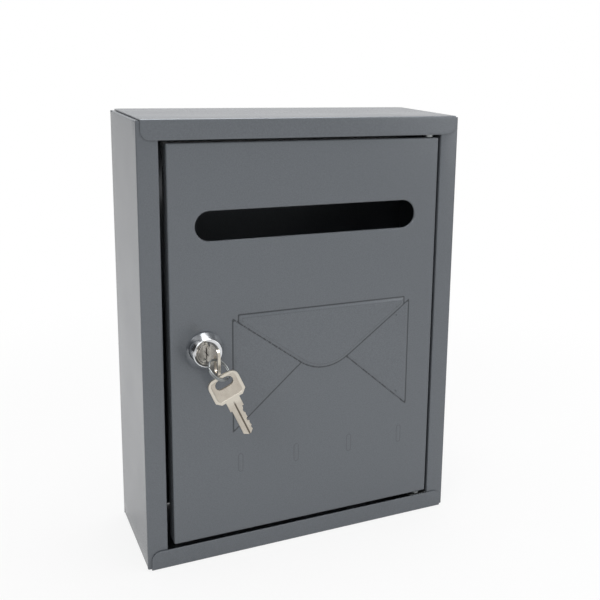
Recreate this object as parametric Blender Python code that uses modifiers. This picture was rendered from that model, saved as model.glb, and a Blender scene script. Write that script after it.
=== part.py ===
"""Wall mailbox of folded sheet steel with a locking front door and two keys.

The cabinet is three sheets: a wrap that is back, sides and front flanges in one,
and a top and a bottom panel whose lips fold over the flanges. The door is a
shallow pan that turns on two pivot pins. A wafer cam lock closes it, and its key
carries a split ring and a second key.

Units are metres, +Z is up, and the front faces -Y. The origin is the centre of
the back face, which lies against the wall.
"""

import math

import bmesh
import bpy
from mathutils import Matrix, Vector

MM = 0.001
GAP = 0.3 * MM                    # clearance between pieces that touch or are welded
MERGE = 0.001 * MM                # points nearer than this are one point

# Cabinet
WIDTH = 225 * MM
HEIGHT = 300 * MM
DEPTH = 85 * MM
SHEET = 0.8 * MM
BEND = 1.1 * MM                   # outer radius of a fold
FLANGE = 13.5 * MM                # front flange of each side
FLANGE_RETURN = 16 * MM           # flange's inner edge, folded back into the cabinet
LIP = 13 * MM                     # front lip of the top and bottom panels
LIP_INSET = 2.5 * MM
LIP_CORNER = 6 * MM
TAB = 9 * MM                      # side's tabs under the top and over the bottom panel
TAB_RELIEF = 2 * MM
WALL_HOLE_RADIUS = 2.75 * MM
WALL_HOLE_X = 75 * MM
WALL_HOLE_Z = 115 * MM

# Door
LATCH_GAP = 4.3 * MM              # between the flange and the door's lock edge
HINGE_GAP = 1.8 * MM
LIP_GAP = 2 * MM                  # between each lip and the door
DOOR_RETURN = 12 * MM
DOOR_BEND = 1.2 * MM
SLOT_WIDTH = 157 * MM
SLOT_HEIGHT = 19.5 * MM
SLOT_BELOW_TOP = 53.3 * MM
EMBOSS = 0.5 * MM
EMBOSS_SHIFT = 10.8 * MM          # envelope emblem's centre, right of the door's centre
EMBOSS_HALF = 65.5 * MM
EMBOSS_TOP = 21.2 * MM
EMBOSS_BOTTOM = -60.8 * MM
FLAP_IN = 4 * MM                  # flap's ends, in from the emblem's ends
FLAP_SLOPE = 0.75                 # rise of the flap's sides over their run
FLAP_POINT = -30.4 * MM           # where the flap's sides would meet
FLAP_RADIUS = 28.4 * MM           # arc in place of that point
FIELD_SLOPE = 0.887               # fall of the side fields' lower edges over their run
VALLEY = 1.5 * MM                 # flat strip between the flap and a side field
BAR_COUNT = 4
BAR_HEIGHT = 13 * MM
BAR_WIDTH = 3.2 * MM
BAR_PITCH = 40.3 * MM
BAR_Z = -84 * MM

# Door pivots
PIVOT_IN = 6.5 * MM               # axis, in from the door's hinge edge
PIVOT_BACK = 4 * MM               # axis, behind the door's front face
PIN_RADIUS = 1.5 * MM
PIN_HEAD_RADIUS = 2.7 * MM
PIN_HEAD = 1.2 * MM
PIN_DOME = 0.6                    # flat middle of a riveted end, as a share of its radius
PIN_TAIL_RADIUS = 2.4 * MM
PIN_TAIL = 1.0 * MM
SPACER_RADIUS = 3.4 * MM
BRACKET = 1.5 * MM                # thickness of the pivot brackets
BRACKET_REACH = 6 * MM            # past the pin, away from the flange and to the back
BRACKET_LEG = 9 * MM

# Lock
LOCK_IN = 22.5 * MM               # lock centre, in from the door's lock edge
BEZEL_RADIUS = 12.5 * MM
BEZEL_FACE_RADIUS = 9.3 * MM
BEZEL_RIM = 1.3 * MM
BEZEL_HEIGHT = 7.5 * MM
BARREL_WALL = 2 * MM
BARREL_FLAT = 0.8 * MM            # depth of each of the barrel's two flats
NUT_WALL = 2.7 * MM               # from the barrel to a flat of the nut
NUT_THICK = 4 * MM
PLUG_RADIUS = 6.5 * MM
PLUG_PROUD = 0.5 * MM             # plug, past the back of the barrel
KEYWAY_CLEAR = 0.3 * MM
WAFER_COUNT = 5
WAFER_PITCH = 3.2 * MM
WAFER_FIRST = 3.0 * MM            # first wafer, behind the plug's face
WAFER_THICK = 0.9 * MM
WAFER_SLOT = 1.6 * MM
WAFER_WIDTH = 4.6 * MM
WAFER_IN = 0.6 * MM               # wafer's ends, inside the plug's round surface
WAFER_SIDE = 1.0 * MM             # wafer metal on each side of the key window
WAFER_ARM = 2.2 * MM              # side arm that its spring pushes on
WAFER_ARM_TALL = 1.0 * MM
SPRING_WIRE = 0.12 * MM           # wire radius
SPRING_RADIUS = 0.45 * MM
SPRING_LENGTH = 3.6 * MM
SPRING_TURNS = 5
CAM_CATCH = 6.2 * MM              # how far the turned cam reaches behind the flange
CAM_WIDTH = 14 * MM
CAM_TIP_WIDTH = 11 * MM
CAM_THICK = 2 * MM
CAM_CATCH_GAP = 0.6 * MM          # between the cam and the flange return it locks behind
BOSS = 6.4 * MM                   # plug's square end, which turns the cam
WASHER_RADIUS = 6 * MM
WASHER_THICK = 1.0 * MM
SCREW_RADIUS = 1.7 * MM
SCREW_HEAD_RADIUS = 3.6 * MM
SCREW_HEAD = 1.8 * MM
SCREW_LENGTH = 7.2 * MM

# Keys and ring
KEY_THICK = 1.8 * MM
BOW_WIDTH = 20.5 * MM
BOW_LENGTH = 18 * MM
BOW_CORNER = 5 * MM
NECK_WIDTH = 9.2 * MM
NECK_LENGTH = 7 * MM
BLADE_WIDTH = 7 * MM
BLADE_LENGTH = 20 * MM
KEY_CUTS = (0.9 * MM, 0.3 * MM, 1.2 * MM, 0.6 * MM, 0.9 * MM)
CUT_LAND = 1.2 * MM               # flat bottom of each cut
CUT_PEAK = 0.1 * MM               # peaks between the cuts, below the blade's full width
TIP_LENGTH = 2.2 * MM             # tapered end of the blade
TIP_HALF = 0.6 * MM               # half width of its end
BOW_SLOT_LENGTH = 12 * MM
BOW_SLOT_WIDTH = 6.6 * MM
BOW_SLOT_IN = 5.3 * MM            # slot's centre line, in from the end of the bow
GROOVE_WIDTH = 1.0 * MM
GROOVE_DEPTH = 0.35 * MM
GROOVE_RUN_OUT = 2 * MM           # groove, into the neck
RING_RADIUS = 7.5 * MM            # to the middle of the wire
RING_WIRE = 0.5 * MM
RING_PITCH = 1.1 * MM             # between the ring's two turns
RING_SHORT = math.radians(16)     # what the ring lacks of two full turns
RING_CROSSING = math.radians(68)  # stretch in which the wire passes from one turn to the other
RING_START = math.radians(-110)   # wire's first end, from the ring's lowest point
RING_TILT = math.radians(45)
RING_HEADING = math.radians(-50)  # where the ring's low side points
RING_KEY_1 = math.radians(141)    # key 1's place on the ring, from its lowest point
KEY_1_SLIP = 1.6 * MM             # ring's place in key 1's slot, towards the end of the bow
KEY_2_TILT = math.radians(24.5)
KEY_2_SLIP = Vector((2.2 * MM, -0.9 * MM))   # ring's place in key 2's slot

# Derived places
FRONT = -(DEPTH - SHEET - GAP)               # face of the flanges and of the door
SIDE_TOP = HEIGHT / 2 - SHEET - GAP
DOOR_LEFT = -WIDTH / 2 + FLANGE + LATCH_GAP
DOOR_RIGHT = WIDTH / 2 - FLANGE - HINGE_GAP
DOOR_TOP = HEIGHT / 2 - LIP - LIP_GAP
DOOR_BOTTOM = -DOOR_TOP
DOOR_MIDDLE = (DOOR_LEFT + DOOR_RIGHT) / 2
PIVOT_X = DOOR_RIGHT - PIVOT_IN
PIVOT_Y = FRONT + PIVOT_BACK
LOCK_X = DOOR_LEFT + LOCK_IN
BEZEL_BACK = FRONT - GAP
FACE = BEZEL_BACK - BEZEL_HEIGHT
PLUG_FACE = FACE + GAP
CAM_FRONT = FRONT + FLANGE_RETURN + CAM_CATCH_GAP
PLUG_BACK = CAM_FRONT - GAP
BARREL_BACK = PLUG_BACK - PLUG_PROUD
CAM_BACK = CAM_FRONT + CAM_THICK
WASHER_BACK = CAM_BACK + GAP + WASHER_THICK
SCREW_HEAD_FRONT = WASHER_BACK + GAP
KEY_STOP = FACE - GAP
BOW_END = KEY_STOP - NECK_LENGTH - BOW_LENGTH
KEYWAY_END = KEY_STOP + BLADE_LENGTH + KEYWAY_CLEAR
BORE_RADIUS = PLUG_RADIUS + GAP
WAFER_TALL = 2 * (PLUG_RADIUS - WAFER_IN)
BARREL_RADIUS = BORE_RADIUS + BARREL_WALL
BARREL_HALF = BARREL_RADIUS - BARREL_FLAT    # from the lock's axis to a flat
CAM_LENGTH = LOCK_IN + LATCH_GAP + CAM_CATCH


def clear_scene():
    for old in list(bpy.data.objects):
        bpy.data.objects.remove(old, do_unlink=True)


def collection(name):
    made = bpy.data.collections.new(name)
    bpy.context.scene.collection.children.link(made)
    return made


def material(name, colour, roughness, metallic):
    made = bpy.data.materials.new(name)
    made.use_nodes = True
    shader = made.node_tree.nodes["Principled BSDF"]
    shader.inputs["Base Color"].default_value = (*colour, 1.0)
    shader.inputs["Roughness"].default_value = roughness
    shader.inputs["Metallic"].default_value = metallic
    return made


clear_scene()
PARTS = collection("wall_mailbox")
CUTTERS = collection("cutters")
PAINT = material("grey_paint", (0.13, 0.14, 0.15), 0.35, 0.3)
ZINC = material("zinc_plate", (0.55, 0.55, 0.53), 0.4, 1.0)
CHROME = material("chrome", (0.75, 0.76, 0.78), 0.12, 1.0)
BRASS = material("brass", (0.72, 0.52, 0.24), 0.35, 1.0)
NICKEL = material("nickel", (0.62, 0.58, 0.52), 0.25, 1.0)


def add_object(name, mesh, mat, place=(0, 0, 0), turn=None):
    """Links a mesh as a named piece, with `turn` as its 3 x 3 rotation."""
    obj = bpy.data.objects.new(name, mesh)
    PARTS.objects.link(obj)
    obj.matrix_world = Matrix.LocRotScale(Vector(place), turn, None)
    mesh.materials.append(mat)
    return obj


def as_cutter(obj):
    obj.hide_render = True
    obj.display_type = "WIRE"
    PARTS.objects.unlink(obj)
    CUTTERS.objects.link(obj)
    return obj


def boolean(obj, other, operation="DIFFERENCE"):
    step = obj.modifiers.new(operation.lower(), "BOOLEAN")
    step.operation = operation
    step.solver = "EXACT"
    step.object = as_cutter(other)
    return obj


def smooth(obj, angle=35):
    obj.data.shade_smooth()
    obj.data.set_sharp_from_angle(angle=math.radians(angle))
    return obj


def mesh_from(bm, name):
    mesh = bpy.data.meshes.new(name)
    bm.to_mesh(mesh)
    bm.free()
    return mesh


def box(name, low, high, mat=PAINT):
    bm = bmesh.new()
    size = Vector(high) - Vector(low)
    middle = (Vector(high) + Vector(low)) / 2
    bmesh.ops.create_cube(bm, size=1.0, matrix=Matrix.LocRotScale(middle, None, size))
    return add_object(name, mesh_from(bm, name), mat)


def cylinder(name, radius, start, end, sides=32, mat=PAINT):
    """A round bar from one point to another."""
    along = Vector(end) - Vector(start)
    turn = along.to_track_quat("Z", "Y").to_matrix()
    bm = bmesh.new()
    bmesh.ops.create_cone(bm, cap_ends=True, segments=sides, radius1=radius, radius2=radius,
                          depth=along.length)
    obj = add_object(name, mesh_from(bm, name), mat, (Vector(start) + Vector(end)) / 2, turn)
    return smooth(obj)


def turned(name, profile, place, mat, turn=None, steps=40):
    """A closed (radius, height) profile turned about the piece's own Z axis."""
    bm = bmesh.new()
    points = [bm.verts.new((radius, 0, height)) for radius, height in profile]
    for here, there in zip(points, points[1:] + points[:1]):
        bm.edges.new((here, there))
    obj = add_object(name, mesh_from(bm, name), mat, place, turn)
    screw = obj.modifiers.new("turn", "SCREW")
    screw.axis = "Z"
    screw.steps = steps
    screw.render_steps = steps
    screw.use_merge_vertices = True
    screw.merge_threshold = MERGE
    screw.use_normal_calculate = False
    screw.use_smooth_shade = True
    return obj


def plate(name, outlines, thick, mat, place=(0, 0, 0), turn=None):
    """A flat piece from closed 2D outlines, the inner ones being its holes."""
    curve = bpy.data.curves.new(name, "CURVE")
    curve.dimensions = "2D"
    curve.fill_mode = "BOTH"
    curve.extrude = thick / 2
    for outline in outlines:
        spline = curve.splines.new("POLY")
        spline.points.add(len(outline) - 1)
        for point, (x, y) in zip(spline.points, outline):
            point.co = (x, y, 0, 1)
        spline.use_cyclic_u = True
    flat = bpy.data.objects.new(name, curve)
    PARTS.objects.link(flat)
    depsgraph = bpy.context.evaluated_depsgraph_get()
    mesh = bpy.data.meshes.new_from_object(flat.evaluated_get(depsgraph))
    bpy.data.objects.remove(flat)
    bm = bmesh.new()
    bm.from_mesh(mesh)
    bmesh.ops.remove_doubles(bm, verts=bm.verts, dist=MERGE)
    bmesh.ops.recalc_face_normals(bm, faces=bm.faces)
    bm.to_mesh(mesh)
    bm.free()
    mesh.name = name
    return add_object(name, mesh, mat, place, turn)


def arc(centre, radius, start, end, count):
    """Points on an arc, with its angles in degrees."""
    points = []
    for step in range(count + 1):
        angle = math.radians(start + (end - start) * step / count)
        points.append((centre[0] + radius * math.cos(angle), centre[1] + radius * math.sin(angle)))
    return points


def obround(length, width, centre=(0, 0), count=10):
    """A slot outline with round ends, long in its first coordinate."""
    reach = (length - width) / 2
    right = arc((centre[0] + reach, centre[1]), width / 2, -90, 90, count)
    left = arc((centre[0] - reach, centre[1]), width / 2, 90, 270, count)
    return right + left


def fold_and_thicken(obj, radius, segments=3):
    """Rounds the folds of an open sheet, then gives it its thickness inwards."""
    bevel = obj.modifiers.new("folds", "BEVEL")
    bevel.width = radius
    bevel.segments = segments
    bevel.limit_method = "ANGLE"
    bevel.angle_limit = math.radians(30)
    solidify = obj.modifiers.new("sheet", "SOLIDIFY")
    solidify.thickness = SHEET
    solidify.offset = -1
    solidify.use_even_offset = True
    return smooth(obj)


def facing(out, across):
    """Rotation whose local X is `across` and whose local Z is `out`."""
    z_axis = Vector(out).normalized()
    x_axis = Vector(across).normalized()
    y_axis = z_axis.cross(x_axis)
    return Matrix((x_axis, y_axis, z_axis)).transposed()


FRONT_VIEW = facing((0, -1, 0), (1, 0, 0))   # flat outlines in X and Z, facing the front


def extrude_run(bm, edges, by):
    """Extrudes a run of edges of an open sheet by a vector."""
    made = bmesh.ops.extrude_edge_only(bm, edges=edges)["geom"]
    verts = [item for item in made if isinstance(item, bmesh.types.BMVert)]
    bmesh.ops.translate(bm, verts=verts, vec=by)
    return verts


def cabinet_wrap():
    """Back, sides and front flanges, folded from one sheet."""
    half = WIDTH / 2
    inner = half - FLANGE
    path = ((-inner, FRONT + FLANGE_RETURN), (-inner, FRONT), (-half, FRONT), (-half, 0),
            (half, 0), (half, FRONT), (inner, FRONT), (inner, FRONT + FLANGE_RETURN))
    bm = bmesh.new()
    foot = [bm.verts.new((x, y, -SIDE_TOP)) for x, y in path]
    run = [bm.edges.new(pair) for pair in zip(foot, foot[1:])]
    extrude_run(bm, run, (0, 0, 2 * SIDE_TOP))
    for y in (FRONT + TAB_RELIEF, -TAB_RELIEF):
        geometry = bm.verts[:] + bm.edges[:] + bm.faces[:]
        bmesh.ops.bisect_plane(bm, geom=geometry, plane_co=(0, y, 0), plane_no=(0, 1, 0))
    for side in (-1, 1):
        for level in (-1, 1):
            tab_edges = []
            for edge in bm.edges:
                middle = (edge.verts[0].co + edge.verts[1].co) / 2
                along_y = abs(edge.verts[0].co.y - edge.verts[1].co.y) > DEPTH / 2
                at_side = abs(middle.x - side * half) < GAP
                if along_y and at_side and abs(middle.z - level * SIDE_TOP) < GAP:
                    tab_edges.append(edge)
            extrude_run(bm, tab_edges, (-side * TAB, 0, 0))
    bmesh.ops.recalc_face_normals(bm, faces=bm.faces)
    obj = add_object("cabinet_wrap", mesh_from(bm, "cabinet_wrap"), PAINT)
    fold_and_thicken(obj, BEND)
    for x in (-WALL_HOLE_X, WALL_HOLE_X):
        for z in (-WALL_HOLE_Z, WALL_HOLE_Z):
            boolean(obj, cylinder("wall_hole", WALL_HOLE_RADIUS, (x, -2 * SHEET, z), (x, SHEET, z), 20))
    return obj


def end_panel(name, level):
    """Top (level 1) or bottom (level -1) panel, with its front lip."""
    half = WIDTH / 2 - LIP_INSET
    edge = level * HEIGHT / 2
    bm = bmesh.new()
    back = [bm.verts.new((x, 0, edge)) for x in (-half, half)]
    extrude_run(bm, [bm.edges.new(back)], (0, -DEPTH, 0))
    front = [item for item in bm.edges if all(abs(vert.co.y + DEPTH) < GAP for vert in item.verts)]
    extrude_run(bm, front, (0, 0, -level * LIP))
    bmesh.ops.recalc_face_normals(bm, faces=bm.faces)
    if bm.faces[0].normal.z * level < 0:
        bmesh.ops.reverse_faces(bm, faces=bm.faces)
    obj = fold_and_thicken(add_object(name, mesh_from(bm, name), PAINT), BEND)
    for side in (-1, 1):
        cut = LIP_CORNER
        centre = (side * (half - cut), edge - level * (LIP - cut))
        corner = [(side * half + side * cut, edge - level * (LIP - cut)),
                  (side * half, edge - level * (LIP - cut))]
        start = 0 if side > 0 else 180
        corner += arc(centre, cut, start, start - 90 * side * level, 6)
        corner += [(side * (half - cut), edge - level * (LIP + cut)),
                   (side * (half + cut), edge - level * (LIP + cut))]
        tool = plate("lip_corner", [corner], 4 * SHEET, PAINT, (0, -DEPTH + SHEET / 2, 0), FRONT_VIEW)
        boolean(obj, tool)
    return obj


def emblem_outlines():
    """Envelope emblem: a flap with a rounded point, and the two side fields."""
    angle = math.atan(FLAP_SLOPE)
    turn = math.degrees(angle)
    end = EMBOSS_HALF - FLAP_IN
    end_low = FLAP_POINT + FLAP_SLOPE * end
    flap = [(end, end_low), (end, EMBOSS_TOP), (-end, EMBOSS_TOP), (-end, end_low)]
    centre = (0, FLAP_POINT + FLAP_RADIUS / math.cos(angle))
    flap += arc(centre, FLAP_RADIUS, -90 - turn, -90 + turn, 8)
    field_point = FLAP_POINT - VALLEY / math.cos(angle)
    field_top = field_point + FLAP_SLOPE * EMBOSS_HALF
    tip = (EMBOSS_BOTTOM + FIELD_SLOPE * EMBOSS_HALF - field_point) / (FLAP_SLOPE + FIELD_SLOPE)
    tip_z = field_point + FLAP_SLOPE * tip
    outlines = [flap]
    for side in (-1, 1):
        outer = side * EMBOSS_HALF
        outlines.append([(outer, field_top), (side * tip, tip_z), (outer, EMBOSS_BOTTOM)])
    return outlines


def door_panel():
    """Pan with four folded returns, the letter slot, the lock hole and the embossing."""
    bm = bmesh.new()
    size = Vector((DOOR_RIGHT - DOOR_LEFT, DOOR_RETURN, DOOR_TOP - DOOR_BOTTOM))
    middle = Vector((DOOR_MIDDLE, FRONT + DOOR_RETURN / 2, 0))
    bmesh.ops.create_cube(bm, size=1.0, matrix=Matrix.LocRotScale(middle, None, size))
    back = [face for face in bm.faces if face.normal.y > 0.5]
    bmesh.ops.delete(bm, geom=back, context="FACES_ONLY")
    obj = add_object("door_panel", mesh_from(bm, "door_panel"), PAINT)
    fold_and_thicken(obj, DOOR_BEND)
    raised = emblem_outlines()
    for index in range(BAR_COUNT):
        x = (index - (BAR_COUNT - 1) / 2) * BAR_PITCH
        upright = obround(BAR_HEIGHT, BAR_WIDTH, count=4)
        raised.append([(x + y, BAR_Z - z) for z, y in upright])
    root = SHEET / 2
    for outline in raised:
        field = plate("raised_field", [outline], EMBOSS + root, PAINT,
                      (DOOR_MIDDLE + EMBOSS_SHIFT, FRONT + (root - EMBOSS) / 2, 0), FRONT_VIEW)
        boolean(obj, field, "UNION")
    slot = obround(SLOT_WIDTH, SLOT_HEIGHT, (DOOR_MIDDLE, DOOR_TOP - SLOT_BELOW_TOP), 12)
    boolean(obj, plate("letter_slot", [slot], 6 * SHEET, PAINT, (0, FRONT, 0), FRONT_VIEW))
    radius = BARREL_RADIUS + GAP
    flat = math.degrees(math.acos((BARREL_HALF + GAP) / radius))
    hole = arc((LOCK_X, 0), radius, flat, 180 - flat, 12) + arc((LOCK_X, 0), radius, 180 + flat, 360 - flat, 12)
    boolean(obj, plate("lock_hole", [hole], 6 * SHEET, PAINT, (0, FRONT, 0), FRONT_VIEW))
    for z in (DOOR_BOTTOM, DOOR_TOP):
        start = (PIVOT_X, PIVOT_Y, z - 2 * SHEET)
        boolean(obj, cylinder("pivot_hole", PIN_RADIUS + GAP, start, (PIVOT_X, PIVOT_Y, z + 2 * SHEET), 24))
    return obj


def pivot(name, level):
    """Bracket, spacer and riveted pin at the door's top (1) or bottom (-1)."""
    leaf = level * (DOOR_TOP + LIP_GAP + GAP)
    leaf_far = leaf + level * BRACKET
    weld_x = WIDTH / 2 - FLANGE - GAP
    low_z, high_z = sorted((leaf, leaf_far))
    y_range = (FRONT + SHEET + GAP, PIVOT_Y + BRACKET_REACH)
    bracket = box(name + "_hinge_bracket", (PIVOT_X - BRACKET_REACH, y_range[0], low_z),
                  (weld_x, y_range[1], high_z), ZINC)
    leg_z = sorted((leaf, leaf + level * BRACKET_LEG))
    leg = box("leg", (weld_x - BRACKET, y_range[0], leg_z[0]), (weld_x, y_range[1], leg_z[1]), ZINC)
    boolean(bracket, leg, "UNION")
    hole_ends = ((PIVOT_X, PIVOT_Y, low_z - BRACKET), (PIVOT_X, PIVOT_Y, high_z + BRACKET))
    boolean(bracket, cylinder("pin_hole", PIN_RADIUS + GAP, *hole_ends, 24))
    turn = Matrix.Identity(3) if level > 0 else Matrix.Rotation(math.pi, 3, "X")
    place = (PIVOT_X, PIVOT_Y, level * DOOR_TOP)
    height = LIP_GAP + GAP
    spacer = turned(name + "_pivot_spacer", [(PIN_RADIUS + GAP, height - GAP), (SPACER_RADIUS, height - GAP),
                                             (SPACER_RADIUS, GAP), (PIN_RADIUS + GAP, GAP)],
                    place, ZINC, turn, 28)
    head = height + BRACKET + GAP
    tail = -SHEET - GAP
    dome = [(0, head + PIN_HEAD), (PIN_HEAD_RADIUS * PIN_DOME, head + PIN_HEAD),
            (PIN_HEAD_RADIUS, head + PIN_HEAD / 2), (PIN_HEAD_RADIUS, head), (PIN_RADIUS, head),
            (PIN_RADIUS, tail), (PIN_TAIL_RADIUS, tail), (PIN_TAIL_RADIUS, tail - PIN_TAIL / 2),
            (PIN_TAIL_RADIUS * PIN_DOME, tail - PIN_TAIL), (0, tail - PIN_TAIL)]
    pin = turned(name + "_hinge_pin", dome, place, ZINC, turn, 28)
    return bracket, spacer, pin


def lock_pieces():
    """Housing, nut, plug, wafers, springs, cam, washer and screw, about the lock's axis."""
    outward = facing((0, -1, 0), (1, 0, 0))
    centre = (LOCK_X, BEZEL_BACK, 0)
    back = BEZEL_BACK - BARREL_BACK
    chamfer = 0.5 * MM
    housing = turned("lock_housing", [
        (BORE_RADIUS, BEZEL_HEIGHT), (BEZEL_FACE_RADIUS - chamfer, BEZEL_HEIGHT),
        (BEZEL_FACE_RADIUS, BEZEL_HEIGHT - chamfer), (BEZEL_RADIUS - chamfer, BEZEL_RIM),
        (BEZEL_RADIUS, BEZEL_RIM - chamfer), (BEZEL_RADIUS, 0), (BARREL_RADIUS, 0),
        (BARREL_RADIUS, back), (BORE_RADIUS, back)], centre, CHROME, outward)
    behind = BEZEL_BACK
    for side in (-1, 1):
        near = LOCK_X + side * BARREL_HALF
        far = LOCK_X + side * BARREL_RADIUS * 1.5
        low = (min(near, far), behind, -BARREL_RADIUS * 1.2)
        high = (max(near, far), BARREL_BACK + GAP, BARREL_RADIUS * 1.2)
        boolean(housing, box("barrel_flat", low, high))
    nut_front = FRONT + SHEET + GAP
    hexagon = arc((0, 0), (BARREL_RADIUS + NUT_WALL) / math.cos(math.radians(30)), 0, 300, 5)
    bore = arc((0, 0), BARREL_RADIUS + GAP, 0, 348.75, 31)
    nut = plate("lock_nut", [hexagon, bore], NUT_THICK, BRASS,
                (LOCK_X, nut_front + NUT_THICK / 2, 0), FRONT_VIEW)
    return [housing, nut], plug_pieces()


def plug_pieces():
    plug = cylinder("lock_plug", PLUG_RADIUS, (LOCK_X, PLUG_FACE, 0), (LOCK_X, PLUG_BACK, 0), 40, CHROME)
    half = BOSS / 2
    boolean(plug, box("boss", (LOCK_X - half, PLUG_BACK - MM, -half), (LOCK_X + half, CAM_BACK, half)), "UNION")
    way = KEY_THICK / 2 + KEYWAY_CLEAR
    tall = BLADE_WIDTH / 2 + KEYWAY_CLEAR
    boolean(plug, box("keyway", (LOCK_X - way, FACE - MM, -tall), (LOCK_X + way, KEYWAY_END, tall)))
    screw_tip = SCREW_HEAD_FRONT - SCREW_LENGTH
    boolean(plug, cylinder("tapped_hole", SCREW_RADIUS + GAP, (LOCK_X, screw_tip - GAP, 0),
                           (LOCK_X, CAM_BACK + MM, 0), 20))
    pieces = [plug]
    slot_half = WAFER_WIDTH / 2 + GAP
    arm_z = WAFER_TALL / 4
    spring_low = arm_z - GAP - SPRING_LENGTH - 2 * SPRING_WIRE
    for index in range(WAFER_COUNT):
        y = PLUG_FACE + WAFER_FIRST + index * WAFER_PITCH
        low_y = y - WAFER_SLOT / 2
        high_y = y + WAFER_SLOT / 2
        boolean(plug, box("wafer_slot", (LOCK_X - slot_half, low_y, -BORE_RADIUS),
                          (LOCK_X + slot_half, high_y, BORE_RADIUS)))
        arm_end = LOCK_X + WAFER_WIDTH / 2 + WAFER_ARM + GAP
        boolean(plug, box("spring_pocket", (LOCK_X, low_y, spring_low - GAP), (arm_end, high_y, BORE_RADIUS)))
        pieces.append(wafer(index, y, arm_z))
        foot = (LOCK_X + WAFER_WIDTH / 2 + WAFER_ARM / 2 + GAP / 2, y, spring_low)
        pieces.append(wire("wafer_spring_%d" % (index + 1), spring_path(foot), SPRING_WIRE, ZINC, 0))
    pieces += cam_pieces(screw_tip)
    return pieces


def wafer(index, y, arm_z):
    """A wafer lies flush in the plug, and its window lets the whole blade through."""
    half = WAFER_WIDTH / 2
    top = WAFER_TALL / 2
    arm = half + WAFER_ARM
    outline = [(-half, -top), (half, -top), (half, arm_z), (arm, arm_z), (arm, arm_z + WAFER_ARM_TALL),
               (half, arm_z + WAFER_ARM_TALL), (half, top), (-half, top)]
    tall = BLADE_WIDTH / 2 + KEYWAY_CLEAR
    side = half - WAFER_SIDE
    window = [(-side, -tall), (side, -tall), (side, tall), (-side, tall)]
    return plate("lock_wafer_%d" % (index + 1), [outline, window], WAFER_THICK, BRASS,
                 (LOCK_X, y, 0), FRONT_VIEW)


def spring_path(foot):
    """Points along a coil that stands on its foot."""
    count = SPRING_TURNS * 8
    points = []
    for step in range(count + 1):
        angle = 2 * math.pi * step / 8
        rise = SPRING_WIRE + SPRING_LENGTH * step / count
        points.append((foot[0] + SPRING_RADIUS * math.cos(angle),
                       foot[1] + SPRING_RADIUS * math.sin(angle), foot[2] + rise))
    return points


def wire(name, path, radius, mat, resolution):
    """Round wire along a path, with its ends closed."""
    curve = bpy.data.curves.new(name, "CURVE")
    curve.dimensions = "3D"
    curve.bevel_depth = radius
    curve.bevel_resolution = resolution
    curve.use_fill_caps = True
    spline = curve.splines.new("POLY")
    spline.points.add(len(path) - 1)
    for point, place in zip(spline.points, path):
        point.co = (*place, 1)
    loose = bpy.data.objects.new(name, curve)
    PARTS.objects.link(loose)
    depsgraph = bpy.context.evaluated_depsgraph_get()
    mesh = bpy.data.meshes.new_from_object(loose.evaluated_get(depsgraph))
    bpy.data.objects.remove(loose)
    bm = bmesh.new()
    bm.from_mesh(mesh)
    bmesh.ops.remove_doubles(bm, verts=bm.verts, dist=MERGE)
    bmesh.ops.recalc_face_normals(bm, faces=bm.faces)
    bm.to_mesh(mesh)
    bm.free()
    mesh.name = name
    return smooth(add_object(name, mesh, mat), 60)


def cam_pieces(screw_tip):
    """Cam hanging down in the open position, with its washer and screw."""
    wide = CAM_WIDTH / 2
    tip = CAM_TIP_WIDTH / 2
    end = -CAM_LENGTH
    corner = 2 * MM
    outline = arc((0, 0), wide, 0, 180, 14)
    outline += arc((-tip + corner, end + corner), corner, 180, 270, 4)
    outline += arc((tip - corner, end + corner), corner, 270, 360, 4)
    square = BOSS / 2 + GAP
    hole = [(-square, -square), (square, -square), (square, square), (-square, square)]
    cam = plate("lock_cam", [outline, hole], CAM_THICK, ZINC,
                (LOCK_X, CAM_FRONT + CAM_THICK / 2, 0), FRONT_VIEW)
    ring = arc((0, 0), WASHER_RADIUS, 0, 345, 23)
    bore = arc((0, 0), SCREW_RADIUS + GAP, 0, 345, 23)
    washer = plate("cam_washer", [ring, bore], WASHER_THICK, ZINC,
                   (LOCK_X, WASHER_BACK - WASHER_THICK / 2, 0), FRONT_VIEW)
    inward = facing((0, 1, 0), (1, 0, 0))
    socket = SCREW_HEAD_RADIUS * 0.35
    head = [(0, SCREW_HEAD * 0.6), (socket, SCREW_HEAD), (SCREW_HEAD_RADIUS * 0.75, SCREW_HEAD),
            (SCREW_HEAD_RADIUS, SCREW_HEAD * 0.6), (SCREW_HEAD_RADIUS, 0), (SCREW_RADIUS, 0),
            (SCREW_RADIUS, -SCREW_LENGTH), (0, -SCREW_LENGTH)]
    screw = turned("cam_screw", head, (LOCK_X, SCREW_HEAD_FRONT, 0), ZINC, inward, 24)
    return [cam, washer, screw]


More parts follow.
